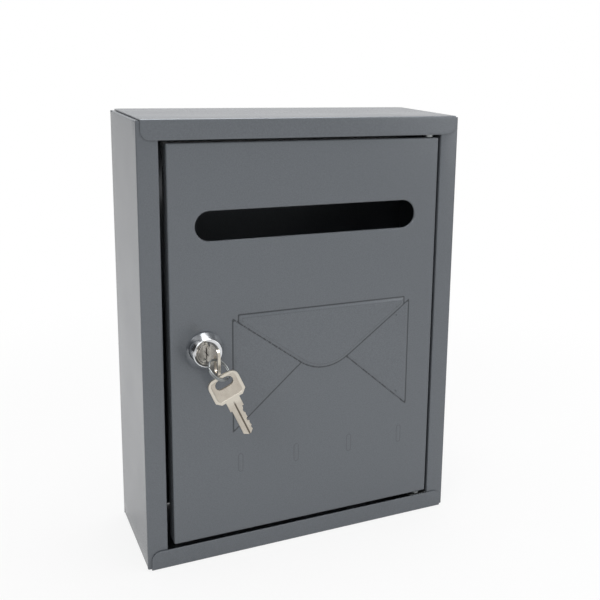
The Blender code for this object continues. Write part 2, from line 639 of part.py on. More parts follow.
def key_outline():
    """Key in its own plane: X across, Y from the end of the bow to the blade's tip."""
    bow = BOW_WIDTH / 2
    neck = NECK_WIDTH / 2
    blade = BLADE_WIDTH / 2
    stop = BOW_LENGTH + NECK_LENGTH
    tip = stop + BLADE_LENGTH
    low_corner = 3 * MM
    outline = arc((-bow + BOW_CORNER, BOW_CORNER), BOW_CORNER, 180, 270, 5)
    outline += arc((bow - BOW_CORNER, BOW_CORNER), BOW_CORNER, 270, 360, 5)
    outline += [(bow, BOW_LENGTH - low_corner), (bow - low_corner, BOW_LENGTH), (neck, BOW_LENGTH),
                (neck, stop), (blade, stop)]
    edge = stop
    for index, cut in enumerate(KEY_CUTS):
        centre = stop + (PLUG_FACE - KEY_STOP) + WAFER_FIRST + index * WAFER_PITCH
        start = centre - CUT_LAND / 2
        end = centre + CUT_LAND / 2
        middle = (edge + start) / 2
        outline += [(blade - CUT_PEAK, middle), (blade - cut, start), (blade - cut, end)]
        edge = end
    shoulder = tip - TIP_LENGTH
    outline += [(blade - TIP_HALF, shoulder), (TIP_HALF, tip), (-TIP_HALF, tip), (-blade, shoulder),
                (-blade, stop), (-neck, stop), (-neck, BOW_LENGTH), (-bow + low_corner, BOW_LENGTH),
                (-bow, BOW_LENGTH - low_corner)]
    return outline


def key(name, bow_end, turn):
    slot = obround(BOW_SLOT_LENGTH, BOW_SLOT_WIDTH, (0, BOW_SLOT_IN), 6)
    obj = plate(name, [key_outline(), slot], KEY_THICK, NICKEL, bow_end, turn)
    stop = BOW_LENGTH + NECK_LENGTH
    for side in (-1, 1):
        groove = box("groove", (-GROOVE_WIDTH / 2, stop - GROOVE_RUN_OUT, KEY_THICK / 2 - GROOVE_DEPTH),
                     (GROOVE_WIDTH / 2, stop + BLADE_LENGTH + MM, KEY_THICK))
        groove.matrix_world = obj.matrix_world @ Matrix.Rotation(math.pi * (side < 0), 4, "Y")
        boolean(obj, groove)
    return obj


def keys_and_ring():
    """Key 1 is in the plug, the ring runs through its bow, and key 2 hangs on the ring."""
    turn_1 = Matrix(((0, 0, 1), (0, 1, 0), (-1, 0, 0)))
    key_1 = key("key_1", (LOCK_X, BOW_END, 0), turn_1)
    low_side = Vector((math.cos(RING_HEADING) * math.cos(RING_TILT),
                       math.sin(RING_HEADING) * math.cos(RING_TILT), -math.sin(RING_TILT)))
    level_side = Vector((-math.sin(RING_HEADING), math.cos(RING_HEADING), 0))
    normal = low_side.cross(level_side)
    hole_1 = Vector((LOCK_X, BOW_END + BOW_SLOT_IN - KEY_1_SLIP, (BOW_SLOT_LENGTH - BOW_SLOT_WIDTH) / 2))
    reach = low_side * math.cos(RING_KEY_1) + level_side * math.sin(RING_KEY_1)
    centre = hole_1 - RING_RADIUS * reach
    path = []
    turns = 4 * math.pi - RING_SHORT
    count = 64
    for index in range(count + 1):
        swept = turns * index / count
        blend = min(max((swept - turns / 2) / RING_CROSSING + 0.5, 0), 1)
        side = (blend * blend * (3 - 2 * blend) - 0.5) * RING_PITCH
        angle = swept + RING_START
        spoke = low_side * math.cos(angle) + level_side * math.sin(angle)
        path.append(centre + RING_RADIUS * spoke + side * normal)
    ring = wire("key_ring", path, RING_WIRE, NICKEL, 1)
    hang = centre + RING_RADIUS * low_side
    along = Vector((math.sin(KEY_2_TILT), 0, -math.cos(KEY_2_TILT)))
    across = Vector((math.cos(KEY_2_TILT), 0, math.sin(KEY_2_TILT)))
    slot_2 = hang - KEY_2_SLIP[0] * across - KEY_2_SLIP[1] * along
    turn_2 = Matrix((across, along, across.cross(along))).transposed()
    key_2 = key("key_2", slot_2 - BOW_SLOT_IN * along, turn_2)
    return key_1, ring, key_2, hole_1, hang


def axis_empty(name, place, parent=None):
    empty = bpy.data.objects.new(name, None)
    empty.empty_display_size = 0.01
    PARTS.objects.link(empty)
    empty.location = place
    attach([empty], parent)
    return empty


def attach(objects, parent):
    """Parents pieces without moving them."""
    if parent is None:
        return
    bpy.context.view_layer.update()
    for obj in objects:
        obj.parent = parent
        obj.matrix_parent_inverse = parent.matrix_world.inverted()


def build():
    cabinet_wrap()
    end_panel("top_panel", 1)
    end_panel("bottom_panel", -1)
    pivot("upper", 1)
    pivot("lower", -1)
    door = door_panel()
    fixed, turning = lock_pieces()
    key_1, ring, key_2, hole_1, hang = keys_and_ring()
    door_axis = axis_empty("door_axis", (PIVOT_X, PIVOT_Y, 0))
    plug_axis = axis_empty("plug_axis", (LOCK_X, PLUG_FACE, 0), door_axis)
    slide_axis = axis_empty("key_slide", (LOCK_X, KEY_STOP, 0), plug_axis)
    ring_axis = axis_empty("ring_axis", hole_1, slide_axis)
    hang_axis = axis_empty("key_2_axis", hang, ring_axis)
    attach([door] + fixed, door_axis)
    attach(turning, plug_axis)
    attach([key_1], slide_axis)
    attach([ring], ring_axis)
    attach([key_2], hang_axis)


build()
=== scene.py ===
"""A wall mailbox of folded sheet steel, dressed for a studio picture.

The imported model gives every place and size. The sheet-metal pieces are made the way
the shop makes them: a flat blank with its openings is laid out, and then folded.
Units are metres, +Z is up and the front faces -Y.
"""

import math

import bmesh
import bpy
import numpy as np
from mathutils import Euler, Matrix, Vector


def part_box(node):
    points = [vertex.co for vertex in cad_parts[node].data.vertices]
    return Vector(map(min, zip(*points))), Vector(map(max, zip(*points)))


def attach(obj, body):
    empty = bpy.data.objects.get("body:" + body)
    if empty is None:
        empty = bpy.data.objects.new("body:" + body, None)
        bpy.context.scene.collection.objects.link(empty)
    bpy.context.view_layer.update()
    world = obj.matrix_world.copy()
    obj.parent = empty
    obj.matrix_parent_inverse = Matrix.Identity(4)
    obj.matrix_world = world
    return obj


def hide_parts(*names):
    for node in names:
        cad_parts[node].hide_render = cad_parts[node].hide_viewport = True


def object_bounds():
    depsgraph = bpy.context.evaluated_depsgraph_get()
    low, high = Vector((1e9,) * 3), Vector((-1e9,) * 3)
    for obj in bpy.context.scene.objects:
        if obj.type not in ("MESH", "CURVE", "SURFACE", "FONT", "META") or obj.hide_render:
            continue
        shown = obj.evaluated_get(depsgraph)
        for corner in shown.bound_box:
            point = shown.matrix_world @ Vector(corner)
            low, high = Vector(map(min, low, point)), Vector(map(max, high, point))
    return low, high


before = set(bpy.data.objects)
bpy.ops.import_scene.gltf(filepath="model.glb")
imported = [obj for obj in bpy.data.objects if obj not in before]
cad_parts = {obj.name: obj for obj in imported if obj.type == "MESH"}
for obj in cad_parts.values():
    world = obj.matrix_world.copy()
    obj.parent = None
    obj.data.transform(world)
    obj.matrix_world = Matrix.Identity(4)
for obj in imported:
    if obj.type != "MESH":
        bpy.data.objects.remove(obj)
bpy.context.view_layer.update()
MM = 0.001


# ---------------------------------------------------------------------------
# Cabinet wrap. One sheet of 0.8 mm cold-rolled steel makes the back, the sides
# and the front flanges. It is punched, folded on a press brake, spot welded to
# the end panels and powder coated.
# ---------------------------------------------------------------------------

SHEET = 0.8 * MM
FOLD = 1.1 * MM                 # outer radius of every cabinet fold
FOLD_STEPS = 6
FLANGE = 13.5 * MM
FLANGE_RETURN = 16 * MM
TAB = 9 * MM                    # folded over at the top and bottom of each side
TAB_RELIEF = 2 * MM
TAB_NOTCH = 0.4 * MM            # slit at each end of a tab, so that it can fold
WALL_HOLE = 2.75 * MM
WALL_HOLE_X = 75 * MM
WALL_HOLE_Z = 115 * MM
HOLE_MARGIN = 4 * MM            # sheet round each hole that is meshed in rings
HOLE_ROWS = 3                   # rings on that sheet, and on the rolled edge inside it
ROLL_ROWS = 4
PUNCH_ROLL = 0.25 * MM          # how far a punched edge is rolled over
EDGE_EASE = 0.2 * MM            # coated sheet edges are never sharp
MESH_STEP = 12 * MM             # between grid lines where the sheet is flat
HAIR = 0.01 * MM                # smallest distance that tells two grid lines apart
MERGE = 0.002 * MM              # points nearer than this are one
CRISP = math.radians(38)        # a fold sharper than this is drawn as an edge

PAINT_GREY = "63676C"
PAINT_FLAKE = "70757B"
PAINT_SHADE = "575B60"
# the colour below is painted shade, darkened into the creases at the foot of each pressing
PAINT_CREASE_SHADE = "24272A"


def linear(code):
    """sRGB hex to linear RGBA: a channel c becomes ((c + 0.055) / 1.055) ** 2.4."""
    channels = np.array([int(code[i:i + 2], 16) for i in (0, 2, 4)]) / 255
    curved = np.where(channels <= 0.04045, channels / 12.92, ((channels + 0.055) / 1.055) ** 2.4)
    return (*curved.tolist(), 1.0)


def add(tree, kind, settings=None, **inputs):
    """Adds a node. An input is named by its socket, or _N for socket number N; a value that is
    itself a socket makes a link."""
    node = tree.nodes.new(kind)
    for name, value in (settings or {}).items():
        setattr(node, name, value)
    for name, value in inputs.items():
        socket = node.inputs[int(name[1:]) if name[0] == "_" else name.replace("_", " ")]
        if isinstance(value, bpy.types.NodeSocket):
            tree.links.new(value, socket)
        else:
            socket.default_value = value
    return node


def new_finish(name):
    """An empty material, its node tree, and the socket of its object coordinates."""
    made = bpy.data.materials.new(name)
    made.use_nodes = True
    made.node_tree.nodes.clear()
    place = add(made.node_tree, "ShaderNodeTexCoord").outputs["Object"]
    return made, made.node_tree, place


def powder_coat():
    """Polyester powder coat with a little flake. It flows out to a faint orange peel about 2 mm
    across, the flake sparkles at half a millimetre, and handling leaves the gloss uneven. Along
    the foot of each pressing the colour is darkened: painted shade for the crease there."""
    made, tree, place = new_finish("satin_powder_coat")
    flake = add(tree, "ShaderNodeTexNoise", Vector=place, Scale=1 / (0.6 * MM), Detail=1.0)
    tone = add(tree, "ShaderNodeValToRGB", Fac=flake.outputs["Fac"])
    tone.color_ramp.elements[0].position = 0.3
    tone.color_ramp.elements[0].color = linear(PAINT_SHADE)
    tone.color_ramp.elements[1].position = 0.7
    tone.color_ramp.elements[1].color = linear(PAINT_FLAKE)
    colour = add(tree, "ShaderNodeMix", {"data_type": "RGBA"}, _0=0.65, _6=tone.outputs["Color"],
                 _7=linear(PAINT_GREY))
    # Painted shade: along the foot of a pressing the sheet is drawn in sharply, and the colour is
    # darkened there to stand for the shade in that crease.
    crease_shade = add(tree, "ShaderNodeAttribute", {"attribute_name": "crease_shade"})
    crease_shade_share = add(tree, "ShaderNodeMapRange", {"interpolation_type": "SMOOTHSTEP"},
                Value=crease_shade.outputs["Fac"], From_Min=0.25, From_Max=0.9, To_Max=0.8)
    colour = add(tree, "ShaderNodeMix", {"data_type": "RGBA"}, _0=crease_shade_share.outputs["Result"],
                 _6=colour.outputs[2], _7=linear(PAINT_CREASE_SHADE))
    handled = add(tree, "ShaderNodeTexNoise", Vector=place, Scale=1 / (60 * MM), Detail=3.0)
    gloss = add(tree, "ShaderNodeMapRange", Value=handled.outputs["Fac"], From_Min=0.3,
                From_Max=0.7, To_Min=0.18, To_Max=0.24)
    peel = add(tree, "ShaderNodeTexNoise", Vector=place, Scale=1 / (2.2 * MM), Detail=2.0)
    bump = add(tree, "ShaderNodeBump", Strength=0.3, Distance=0.02 * MM,
               Height=peel.outputs["Fac"])
    shader = add(tree, "ShaderNodeBsdfPrincipled", Base_Color=colour.outputs[2], Metallic=0.2,
                 Roughness=gloss.outputs["Result"], Normal=bump.outputs["Normal"])
    add(tree, "ShaderNodeOutputMaterial", Surface=shader.outputs["BSDF"])
    return made


def lines(*groups, apart=0.001 * MM):
    """Grid lines from numbers and arrays, in order. Of two groups with lines closer than
    `apart`, the earlier group keeps its own."""
    kept = np.empty(0)
    for group in groups:
        group = np.ravel(group)
        far = np.abs(group[:, None] - kept).min(1, initial=1) > apart
        kept = np.unique(np.round(np.r_[kept, group[far]], 7))
    return kept


def spread(start, end, step):
    """Evenly spaced lines from start to end, about `step` apart."""
    return np.linspace(start, end, max(2, round((end - start) / step) + 1))


def frame_lines(centre, half, margin, count=6):
    """Grid lines across the margin's frame of an opening."""
    return np.linspace(centre - half - margin, centre + half + margin, count + 1)


def blank(us, vs, openings=(), kept=None):
    """A flat sheet as points (u, v, depth) and quads, from crossing grid lines us and vs.

    Each opening is (u, v, reach, radius, margin, roll): a slot with round ends round a centre
    line 2 * reach long. Inside its margin, rings take the place of the grid: they run straight
    from the margin's frame to the nearest point of the centre line, and the last ones roll over
    the edge on a quarter circle. `kept` says which cells of the grid are sheet.
    """
    grid = np.stack([*np.meshgrid(us, vs, indexing="ij"), np.zeros((len(us), len(vs)))], -1)
    number = np.arange(len(us) * len(vs)).reshape(len(us), len(vs))
    middle = (grid[:-1, :-1] + grid[1:, 1:]) / 2
    keep = np.ones(middle.shape[:2], bool) if kept is None else kept(middle[..., 0], middle[..., 1])
    points = [grid.reshape(-1, 3)]
    quads = []
    total = number.size
    for u, v, reach, radius, margin, roll in openings:
        wide = reach + radius + margin
        tall = radius + margin
        i0, i1 = np.searchsorted(us, [u - wide - HAIR, u + wide - HAIR])
        j0, j1 = np.searchsorted(vs, [v - tall - HAIR, v + tall - HAIR])
        keep[i0:i1, j0:j1] = False
        outer = np.concatenate([number[i0:i1, j0], number[i1, j0:j1],
                                number[i1:i0:-1, j1], number[i0, j1:j0:-1]])
        at = points[0][outer, :2]
        centre = np.stack([np.clip(at[:, 0], u - reach, u + reach), np.full(len(at), v)], -1)
        spoke = at - centre
        far = np.linalg.norm(spoke, axis=1)
        spoke /= far[:, None]
        flat = radius + roll + np.linspace(1, 0, HOLE_ROWS + 1)[1:, None] * (far - radius - roll)
        turn = np.linspace(0, math.pi / 2, ROLL_ROWS + 1)[1:, None] * np.ones(len(at))
        size = np.concatenate([flat, radius + roll * (1 - np.sin(turn))])
        depth = np.concatenate([np.zeros_like(flat), roll * (1 - np.cos(turn))])
        ring = np.concatenate([centre + size[..., None] * spoke, depth[..., None]], -1)
        points.append(ring.reshape(-1, 3))
        loops = np.concatenate([outer[None], total + np.arange(size.size).reshape(size.shape)])
        loops = np.concatenate([loops, loops[:, :1]], 1)
        quads.append(cells_of(loops.T))
        total += size.size
    quads.append(cells_of(number)[keep.ravel()])
    return np.concatenate(points), np.concatenate(quads)


def cells_of(number):
    """Quads between neighbouring rows and columns of a table of point numbers."""
    corners = [number[:-1, :-1], number[1:, :-1], number[1:, 1:], number[:-1, 1:]]
    return np.stack(corners, -1).reshape(-1, 4)


def fold_path(corners, radius):
    """A folded section and the developed length at each of its points.

    It runs straight between its corners, and each corner P is a quarter circle: with a and b
    the directions into and out of it, P + r (b - a + a sin t - b cos t), t from 0 to 90 degrees.
    """
    corners = np.array(corners, float)
    runs = np.diff(corners, axis=0)
    ways = runs / np.linalg.norm(runs, axis=1)[:, None]
    into, out = ways[:-1, None], ways[1:, None]
    t = np.linspace(0, math.pi / 2, FOLD_STEPS + 1)[:, None]
    arcs = corners[1:-1, None] + radius * (out - into + into * np.sin(t) - out * np.cos(t))
    path = np.concatenate([corners[:1], arcs.reshape(-1, 2), corners[-1:]])
    length = np.cumsum(np.r_[0, np.linalg.norm(np.diff(path, axis=0), axis=1)])
    return path, length


def piece(name, points, quads, finish, body, slot, *stands_for, closed=False):
    """A mesh from arrays, merged and smooth, riding on its body in place of its CAD nodes."""
    used, number = np.unique(quads, return_inverse=True)
    mesh = bpy.data.meshes.new(name)
    mesh.from_pydata(points[used].tolist(), [], number.reshape(quads.shape).tolist())
    bm = bmesh.new()
    bm.from_mesh(mesh)
    bmesh.ops.remove_doubles(bm, verts=bm.verts, dist=MERGE)
    if closed:
        bmesh.ops.recalc_face_normals(bm, faces=bm.faces)
    bm.to_mesh(mesh)
    bm.free()
    return dressed(name, mesh, finish, body, slot, *stands_for)


def dressed(name, mesh, finish, body, slot, *stands_for):
    """Links a mesh as a piece: smooth, finished, riding, and standing for its CAD nodes."""
    mesh.materials.append(finish)
    mesh.shade_smooth()
    mesh.set_sharp_from_angle(angle=CRISP)
    obj = bpy.data.objects.new(name, mesh)
    bpy.context.scene.collection.objects.link(obj)
    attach(obj, body)
    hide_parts(*stands_for)
    return obj


def thicken(obj, even=True, ease=EDGE_EASE):
    """Gives a folded blank its sheet thickness inwards, and eases its cut edges. `even` keeps
    the thickness through folds, and is left off where small faces meet at odd angles."""
    solid = obj.modifiers.new("sheet", "SOLIDIFY")
    solid.thickness = SHEET
    solid.offset = -1
    solid.use_even_offset = even
    bevel = obj.modifiers.new("eased_edges", "BEVEL")
    bevel.width = ease
    bevel.segments = 2
    bevel.limit_method = "ANGLE"
    bevel.angle_limit = math.radians(60)
    return obj


PAINT = powder_coat()

wrap_low, wrap_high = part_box("cabinet_wrap")
half_width = wrap_high.x
front = wrap_low.y
side_top = wrap_high.z
flange_inner = half_width - FLANGE
wrap_path, wrap_length = fold_path([
    (flange_inner, front + FLANGE_RETURN), (flange_inner, front), (half_width, front),
    (half_width, 0), (-half_width, 0), (-half_width, front), (-flange_inner, front),
    (-flange_inner, front + FLANGE_RETURN)], FOLD)
right_side, back_run, left_side = wrap_length[np.array([2, 3, 4]) * (FOLD_STEPS + 1)]
tab_starts = np.array([right_side, left_side]) + TAB_RELIEF - FOLD
tab_ends = np.array([right_side, left_side]) - front - FOLD - TAB_RELIEF
tab_fold = side_top - FOLD                       # height at which a tab starts to turn
fold_arc = FOLD * math.pi / 2
tab_rows = tab_fold + np.r_[np.linspace(0, fold_arc, FOLD_STEPS + 1), fold_arc + TAB - FOLD]
wall_holes = [(back_run + half_width - FOLD - x, z, 0, WALL_HOLE, HOLE_MARGIN, PUNCH_ROLL)
              for x in (-WALL_HOLE_X, WALL_HOLE_X) for z in (-WALL_HOLE_Z, WALL_HOLE_Z)]


def in_tab(u, edge):
    """Whether u lies in a tab, `edge` in from its ends."""
    u = np.asarray(u)[..., None]
    return ((u > tab_starts + edge) & (u < tab_ends - edge)).any(-1)


def wrap_cells(u, v):
    """The blank's outline: tabs stand out beyond the sides, with a slit at each of their ends."""
    return np.where(np.abs(v) < tab_fold, True,
                    np.where(in_tab(u, 0), in_tab(u, TAB_NOTCH), np.abs(v) < side_top))


def fold_wrap(sheet):
    """Carries the blank along the folded section, then turns each tab inwards: past the fold
    line by w, it goes in by r (1 - cos(w / r)) and up by r sin(w / r), and on straight."""
    u, v, depth = sheet.T
    x = np.interp(u, wrap_length, wrap_path[:, 0])
    y = np.interp(u, wrap_length, wrap_path[:, 1]) - depth
    past = np.where(in_tab(u, TAB_NOTCH - HAIR), np.maximum(np.abs(v) - tab_fold, 0), 0)
    angle = np.minimum(past / FOLD, math.pi / 2)
    inward = FOLD * (1 - np.cos(angle)) + np.maximum(past - fold_arc, 0)
    height = np.where(past > 0, tab_fold + FOLD * np.sin(angle), np.abs(v))
    return np.stack([x - np.sign(x) * inward, y, np.sign(v) * height], -1)


wrap_us = lines(wrap_length, tab_starts, tab_ends, tab_starts + TAB_NOTCH, tab_ends - TAB_NOTCH,
                spread(right_side, right_side - front - 2 * FOLD, MESH_STEP),
                spread(left_side, left_side - front - 2 * FOLD, MESH_STEP),
                *[frame_lines(hole[0], WALL_HOLE, HOLE_MARGIN) for hole in wall_holes],
                spread(back_run, left_side - fold_arc, MESH_STEP))
wrap_vs = lines(tab_rows, -tab_rows, side_top, -side_top, spread(-tab_fold, tab_fold, MESH_STEP),
                *[frame_lines(hole[1], WALL_HOLE, HOLE_MARGIN) for hole in wall_holes])
wrap_points, wrap_quads = blank(wrap_us, wrap_vs, wall_holes, wrap_cells)
thicken(piece("cabinet_shell", fold_wrap(wrap_points), wrap_quads, PAINT, "cabinet", "paint",
              "cabinet_wrap"))


# ---------------------------------------------------------------------------
# End panels. The top and the bottom are one folded sheet each: a flat panel and
# a front lip that laps over the flanges. The lip's free corners are rounded and
# the back corners nipped off, so that nobody is cut.
# ---------------------------------------------------------------------------

LIP = 13 * MM
LIP_CORNER = 6 * MM
BACK_NIP = 2.5 * MM             # corner cut off beside the wall
LIP_ROWS = 8
LIP_CORNER_STEPS = 8


def end_panel(name, level):
    """Folds a panel and shapes its outline: near its ends the lip's length follows a circle,
    L(x) = LIP - c + sqrt(c^2 - (|x| - h + c)^2), and the back edge comes forward by the nip."""
    low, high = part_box(name)
    half = high.x
    edge = high.z if level > 0 else low.z
    face = low.y
    section = [(face, edge - level * LIP), (face, edge), (0, edge)]
    path, length = fold_path(section if level > 0 else section[::-1], FOLD)
    rounding = half - LIP_CORNER + LIP_CORNER * np.sin(
        np.linspace(0, math.pi / 2, LIP_CORNER_STEPS + 1))
    nip = np.array([half - BACK_NIP])
    us = lines(rounding, -rounding, nip, -nip, spread(-half, half, MESH_STEP))
    lip_run = spread(0, LIP - FOLD, (LIP - FOLD) / LIP_ROWS)
    if level < 0:
        lip_run = length[-1] - lip_run
    vs = lines(length, lip_run, spread(length[1], length[-2], MESH_STEP))
    points, quads = blank(us, vs)
    x = points[:, 0]
    y = np.interp(points[:, 1], length, path[:, 0])
    drop = np.abs(np.interp(points[:, 1], length, path[:, 1]) - edge)
    over = np.clip(np.abs(x) - half + LIP_CORNER, 0, LIP_CORNER)
    lip_length = LIP - LIP_CORNER + np.sqrt(LIP_CORNER ** 2 - over ** 2)
    drop = np.where(drop > FOLD, FOLD + (drop - FOLD) * (lip_length - FOLD) / (LIP - FOLD), drop)
    nipped = np.clip(np.abs(x) - half + BACK_NIP, 0, BACK_NIP)
    y = y - nipped * (y - face) / -face
    folded = np.stack([x, y, edge - level * drop], -1)
    return thicken(piece(name + "_sheet", folded, quads, PAINT, "cabinet", "paint", name))


end_panel("top_panel", 1)
end_panel("bottom_panel", -1)


# ---------------------------------------------------------------------------
# Door. A shallow pan: its face is pressed with the envelope emblem and four
# bars, punched for the letters and the lock, and its four sides are folded back.
# ---------------------------------------------------------------------------

DOOR_FOLD = 1.2 * MM
DOOR_RETURN = 12 * MM
DOOR_CORNER_FAN = 4             # directions between two sides, round each upright fold
SLOT_WIDTH = 157 * MM
SLOT_HEIGHT = 19.5 * MM
SLOT_BELOW_TOP = 53.3 * MM
SLOT_ROLL = 1.2 * MM
SLOT_MARGIN = 4 * MM
LOCK_HOLE = 9.1 * MM
LOCK_MARGIN = 1.5 * MM
PRESS_STEP = 0.9 * MM           # grid lines across the pressed area
GRID_APART = 0.2 * MM           # nearest that grid lines of different sorts may lie
EMBLEM_SHIFT = 10.8 * MM        # emblem's centre, right of the door's centre
EMBLEM_HALF = 65.5 * MM
EMBLEM_TOP = 21.2 * MM
EMBLEM_BOTTOM = -60.8 * MM
FLAP_IN = 4 * MM                # flap's ends, in from the emblem's ends
FLAP_SLOPE = 0.75               # rise of the flap's sides over their run
FLAP_POINT = -30.4 * MM         # where the flap's sides would meet
FLAP_RADIUS = 28.4 * MM         # arc in place of that point
FIELD_SLOPE = 0.887             # fall of the side fields' lower edges over their run
FIELD_HEIGHT = 0.4 * MM
FLAP_HEIGHT = 0.5 * MM          # more, where the flap lies over the side fields
PRESS_WALL = 2.4 * MM           # width of the sloping edge of a pressed area
PRESS_MARGIN = 1.5 * MM         # sheet round the pressings that is meshed as finely
CREASE_SHADE_REACH = 0.9 * MM               # reach of the painted crease shade at the foot of that edge
BEND_SHADE_SHARE = 0.5               # its share along the top of the flap's edge
BAR_SHADE_SHARE = 0.55               # its share at the bars
PRESS_CRISP = math.radians(5)   # the walls are low, so their slight folds are edges too
BAR_COUNT = 4
BAR_HEIGHT = 13 * MM
BAR_WIDTH = 3.2 * MM
BAR_PITCH = 40.3 * MM
BAR_Z = -84 * MM

door_low, door_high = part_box("door_panel")
door_middle = (door_low.x + door_high.x) / 2
emblem_x = door_middle + EMBLEM_SHIFT
lock_low, lock_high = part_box("lock_housing")
lock_x = (lock_low.x + lock_high.x) / 2


def below(distance, slope):
    """Distance across a sloping line from the height difference to it."""
    return distance / math.sqrt(1 + slope ** 2)


def to_flap(x, z):
    """Distance to the flap's outline, negative inside it: the flap lies below its top line,
    above both side lines z = p + s |u|, and inside the arc that rounds their point."""
    u = np.abs(x - emblem_x)
    lean = math.atan(FLAP_SLOPE)
    centre = FLAP_POINT + FLAP_RADIUS / math.cos(lean)
    side = below(FLAP_POINT + FLAP_SLOPE * u - z, FLAP_SLOPE)
    at_arc = u < (centre - z) * FLAP_SLOPE
    side = np.where(at_arc, np.hypot(u, z - centre) - FLAP_RADIUS, side)
    return np.maximum.reduce([side, z - EMBLEM_TOP, u - EMBLEM_HALF + FLAP_IN])


def to_others(x, z):
    """Distance to the outlines of the side fields, each between the flap's side line and its
    own falling line, and of the bars, which are upright slots."""
    u = np.abs(x - emblem_x)
    field_top = below(z - FLAP_POINT - FLAP_SLOPE * u, FLAP_SLOPE)
    field_low = below(EMBLEM_BOTTOM + FIELD_SLOPE * (EMBLEM_HALF - u) - z, FIELD_SLOPE)
    nearest = np.maximum.reduce([field_top, field_low, u - EMBLEM_HALF])
    for index in range(BAR_COUNT):
        across = x - emblem_x - (index - (BAR_COUNT - 1) / 2) * BAR_PITCH
        along = np.maximum(np.abs(z - BAR_Z) - (BAR_HEIGHT - BAR_WIDTH) / 2, 0)
        nearest = np.minimum(nearest, np.hypot(across, along) - BAR_WIDTH / 2)
    return nearest


def to_outline(x, z):
    """Distance to the nearest outline of a pressing, negative inside it."""
    return np.minimum(to_flap(x, z), to_others(x, z))


def beneath_flap(x, z):
    """Share of a field's height that it keeps where the flap's side lies on it: full near the
    flap's side line, and falling off over a wall's width beyond that and towards its ends."""
    u = np.abs(x - emblem_x)
    line = np.abs(below(z - FLAP_POINT - FLAP_SLOPE * u, FLAP_SLOPE))
    start = (EMBLEM_BOTTOM + FIELD_SLOPE * EMBLEM_HALF - FLAP_POINT) / (FLAP_SLOPE + FIELD_SLOPE)
    inside = np.minimum(u - start, EMBLEM_HALF - FLAP_IN - u)
    return np.clip(np.minimum(inside, 2 * PRESS_WALL - line) / PRESS_WALL, 0, 1)


def press(u, v, depth):
    """Presses the face. Points near the foot or the top of a wall first slide onto it, squarely
    by their distance to it, so that both are clean lines; the walls climb evenly between. The
    flap's own height is added to that of everything pressed."""
    for outline in (to_outline, to_flap):
        for line in (0, -PRESS_WALL):
            away = outline(u, v) - line
            away = np.where(np.abs(away) < PRESS_STEP / 2, away, 0)
            slope_u = (outline(u + HAIR, v) - outline(u - HAIR, v)) / (2 * HAIR)
            slope_v = (outline(u, v + HAIR) - outline(u, v - HAIR)) / (2 * HAIR)
            u, v = u - away * slope_u, v - away * slope_v
    share = np.clip(-to_outline(u, v) / PRESS_WALL, 0, 1)
    share = np.maximum(share, beneath_flap(u, v))
    flap = np.clip(-to_flap(u, v) / PRESS_WALL, 0, 1)
    return np.stack([u, v, depth - FIELD_HEIGHT * share - FLAP_HEIGHT * flap], -1)


def pan_sides(us, vs):
    """The rows of points that fold the face's rim back, as (u, v, depth) and as a table.

    Every point of the rim moves out by r sin t and back by r (1 - cos t), and then straight
    back. At each corner it does so in a fan of directions, which rounds the upright fold.
    """
    number = np.arange(len(us) * len(vs)).reshape(len(us), len(vs))
    rim = [number[:, 0], number[-1], number[::-1, -1], number[0, ::-1]]
    fan = np.linspace(0, math.pi / 2, DOOR_CORNER_FAN + 2)[1:-1]
    nodes = np.concatenate([np.r_[side, np.full(len(fan), side[-1])] for side in rim])
    heading = np.concatenate([np.r_[np.zeros(len(side)), fan] + (k - 1) * math.pi / 2
                              for k, side in enumerate(rim)])
    t = np.linspace(0, math.pi / 2, FOLD_STEPS + 1)
    out = DOOR_FOLD * np.r_[np.sin(t), 1][:, None]
    back = np.r_[DOOR_FOLD * (1 - np.cos(t)), DOOR_RETURN][:, None]
    u = us[nodes // len(vs)] + out * np.cos(heading)
    v = vs[nodes % len(vs)] + out * np.sin(heading)
    table = np.arange(u.size).reshape(u.shape)
    table = np.concatenate([table, table[:, :1]], 1)
    return np.stack([u, v, back + 0 * u], -1).reshape(-1, 3), table


slot_z = door_high.z - SLOT_BELOW_TOP
slot_radius = SLOT_HEIGHT / 2
slot_reach = SLOT_WIDTH / 2 - slot_radius
door_holes = [(door_middle, slot_z, slot_reach, slot_radius, SLOT_MARGIN, SLOT_ROLL),
              (lock_x, 0, 0, LOCK_HOLE, LOCK_MARGIN, PUNCH_ROLL)]
face_left, face_right = door_low.x + DOOR_FOLD, door_high.x - DOOR_FOLD
face_low, face_top = door_low.z + DOOR_FOLD, door_high.z - DOOR_FOLD
press_reach = EMBLEM_HALF + PRESS_MARGIN
press_low = BAR_Z - BAR_HEIGHT / 2 - PRESS_MARGIN
door_us = lines([face_left, face_right], frame_lines(door_middle, SLOT_WIDTH / 2, SLOT_MARGIN, 2),
                frame_lines(lock_x, LOCK_HOLE, LOCK_MARGIN, 10),
                spread(emblem_x - press_reach, emblem_x + press_reach, PRESS_STEP),
                spread(face_left, face_right, MESH_STEP / 3), apart=GRID_APART)
door_vs = lines([face_low, face_top], frame_lines(slot_z, slot_radius, SLOT_MARGIN, 8),
                frame_lines(0, LOCK_HOLE, LOCK_MARGIN, 10),
                spread(press_low, EMBLEM_TOP + PRESS_MARGIN, PRESS_STEP),
                spread(face_low, face_top, MESH_STEP / 3), apart=GRID_APART)
face_points, face_quads = blank(door_us, door_vs, door_holes)
side_points, side_table = pan_sides(door_us, door_vs)
pan = np.concatenate([press(*face_points.T), side_points])
pan_quads = np.concatenate([face_quads, cells_of(side_table) + len(face_points)])
pan = np.stack([pan[:, 0], front + pan[:, 2], pan[:, 1]], -1)
door = thicken(piece("door_pan", pan, pan_quads, PAINT, "door", "paint", "door_panel"), even=False)
door.data.set_sharp_from_angle(angle=PRESS_CRISP)
places = np.empty(3 * len(door.data.vertices))
door.data.vertices.foreach_get("co", places)
x, z = places[::3], places[2::3]
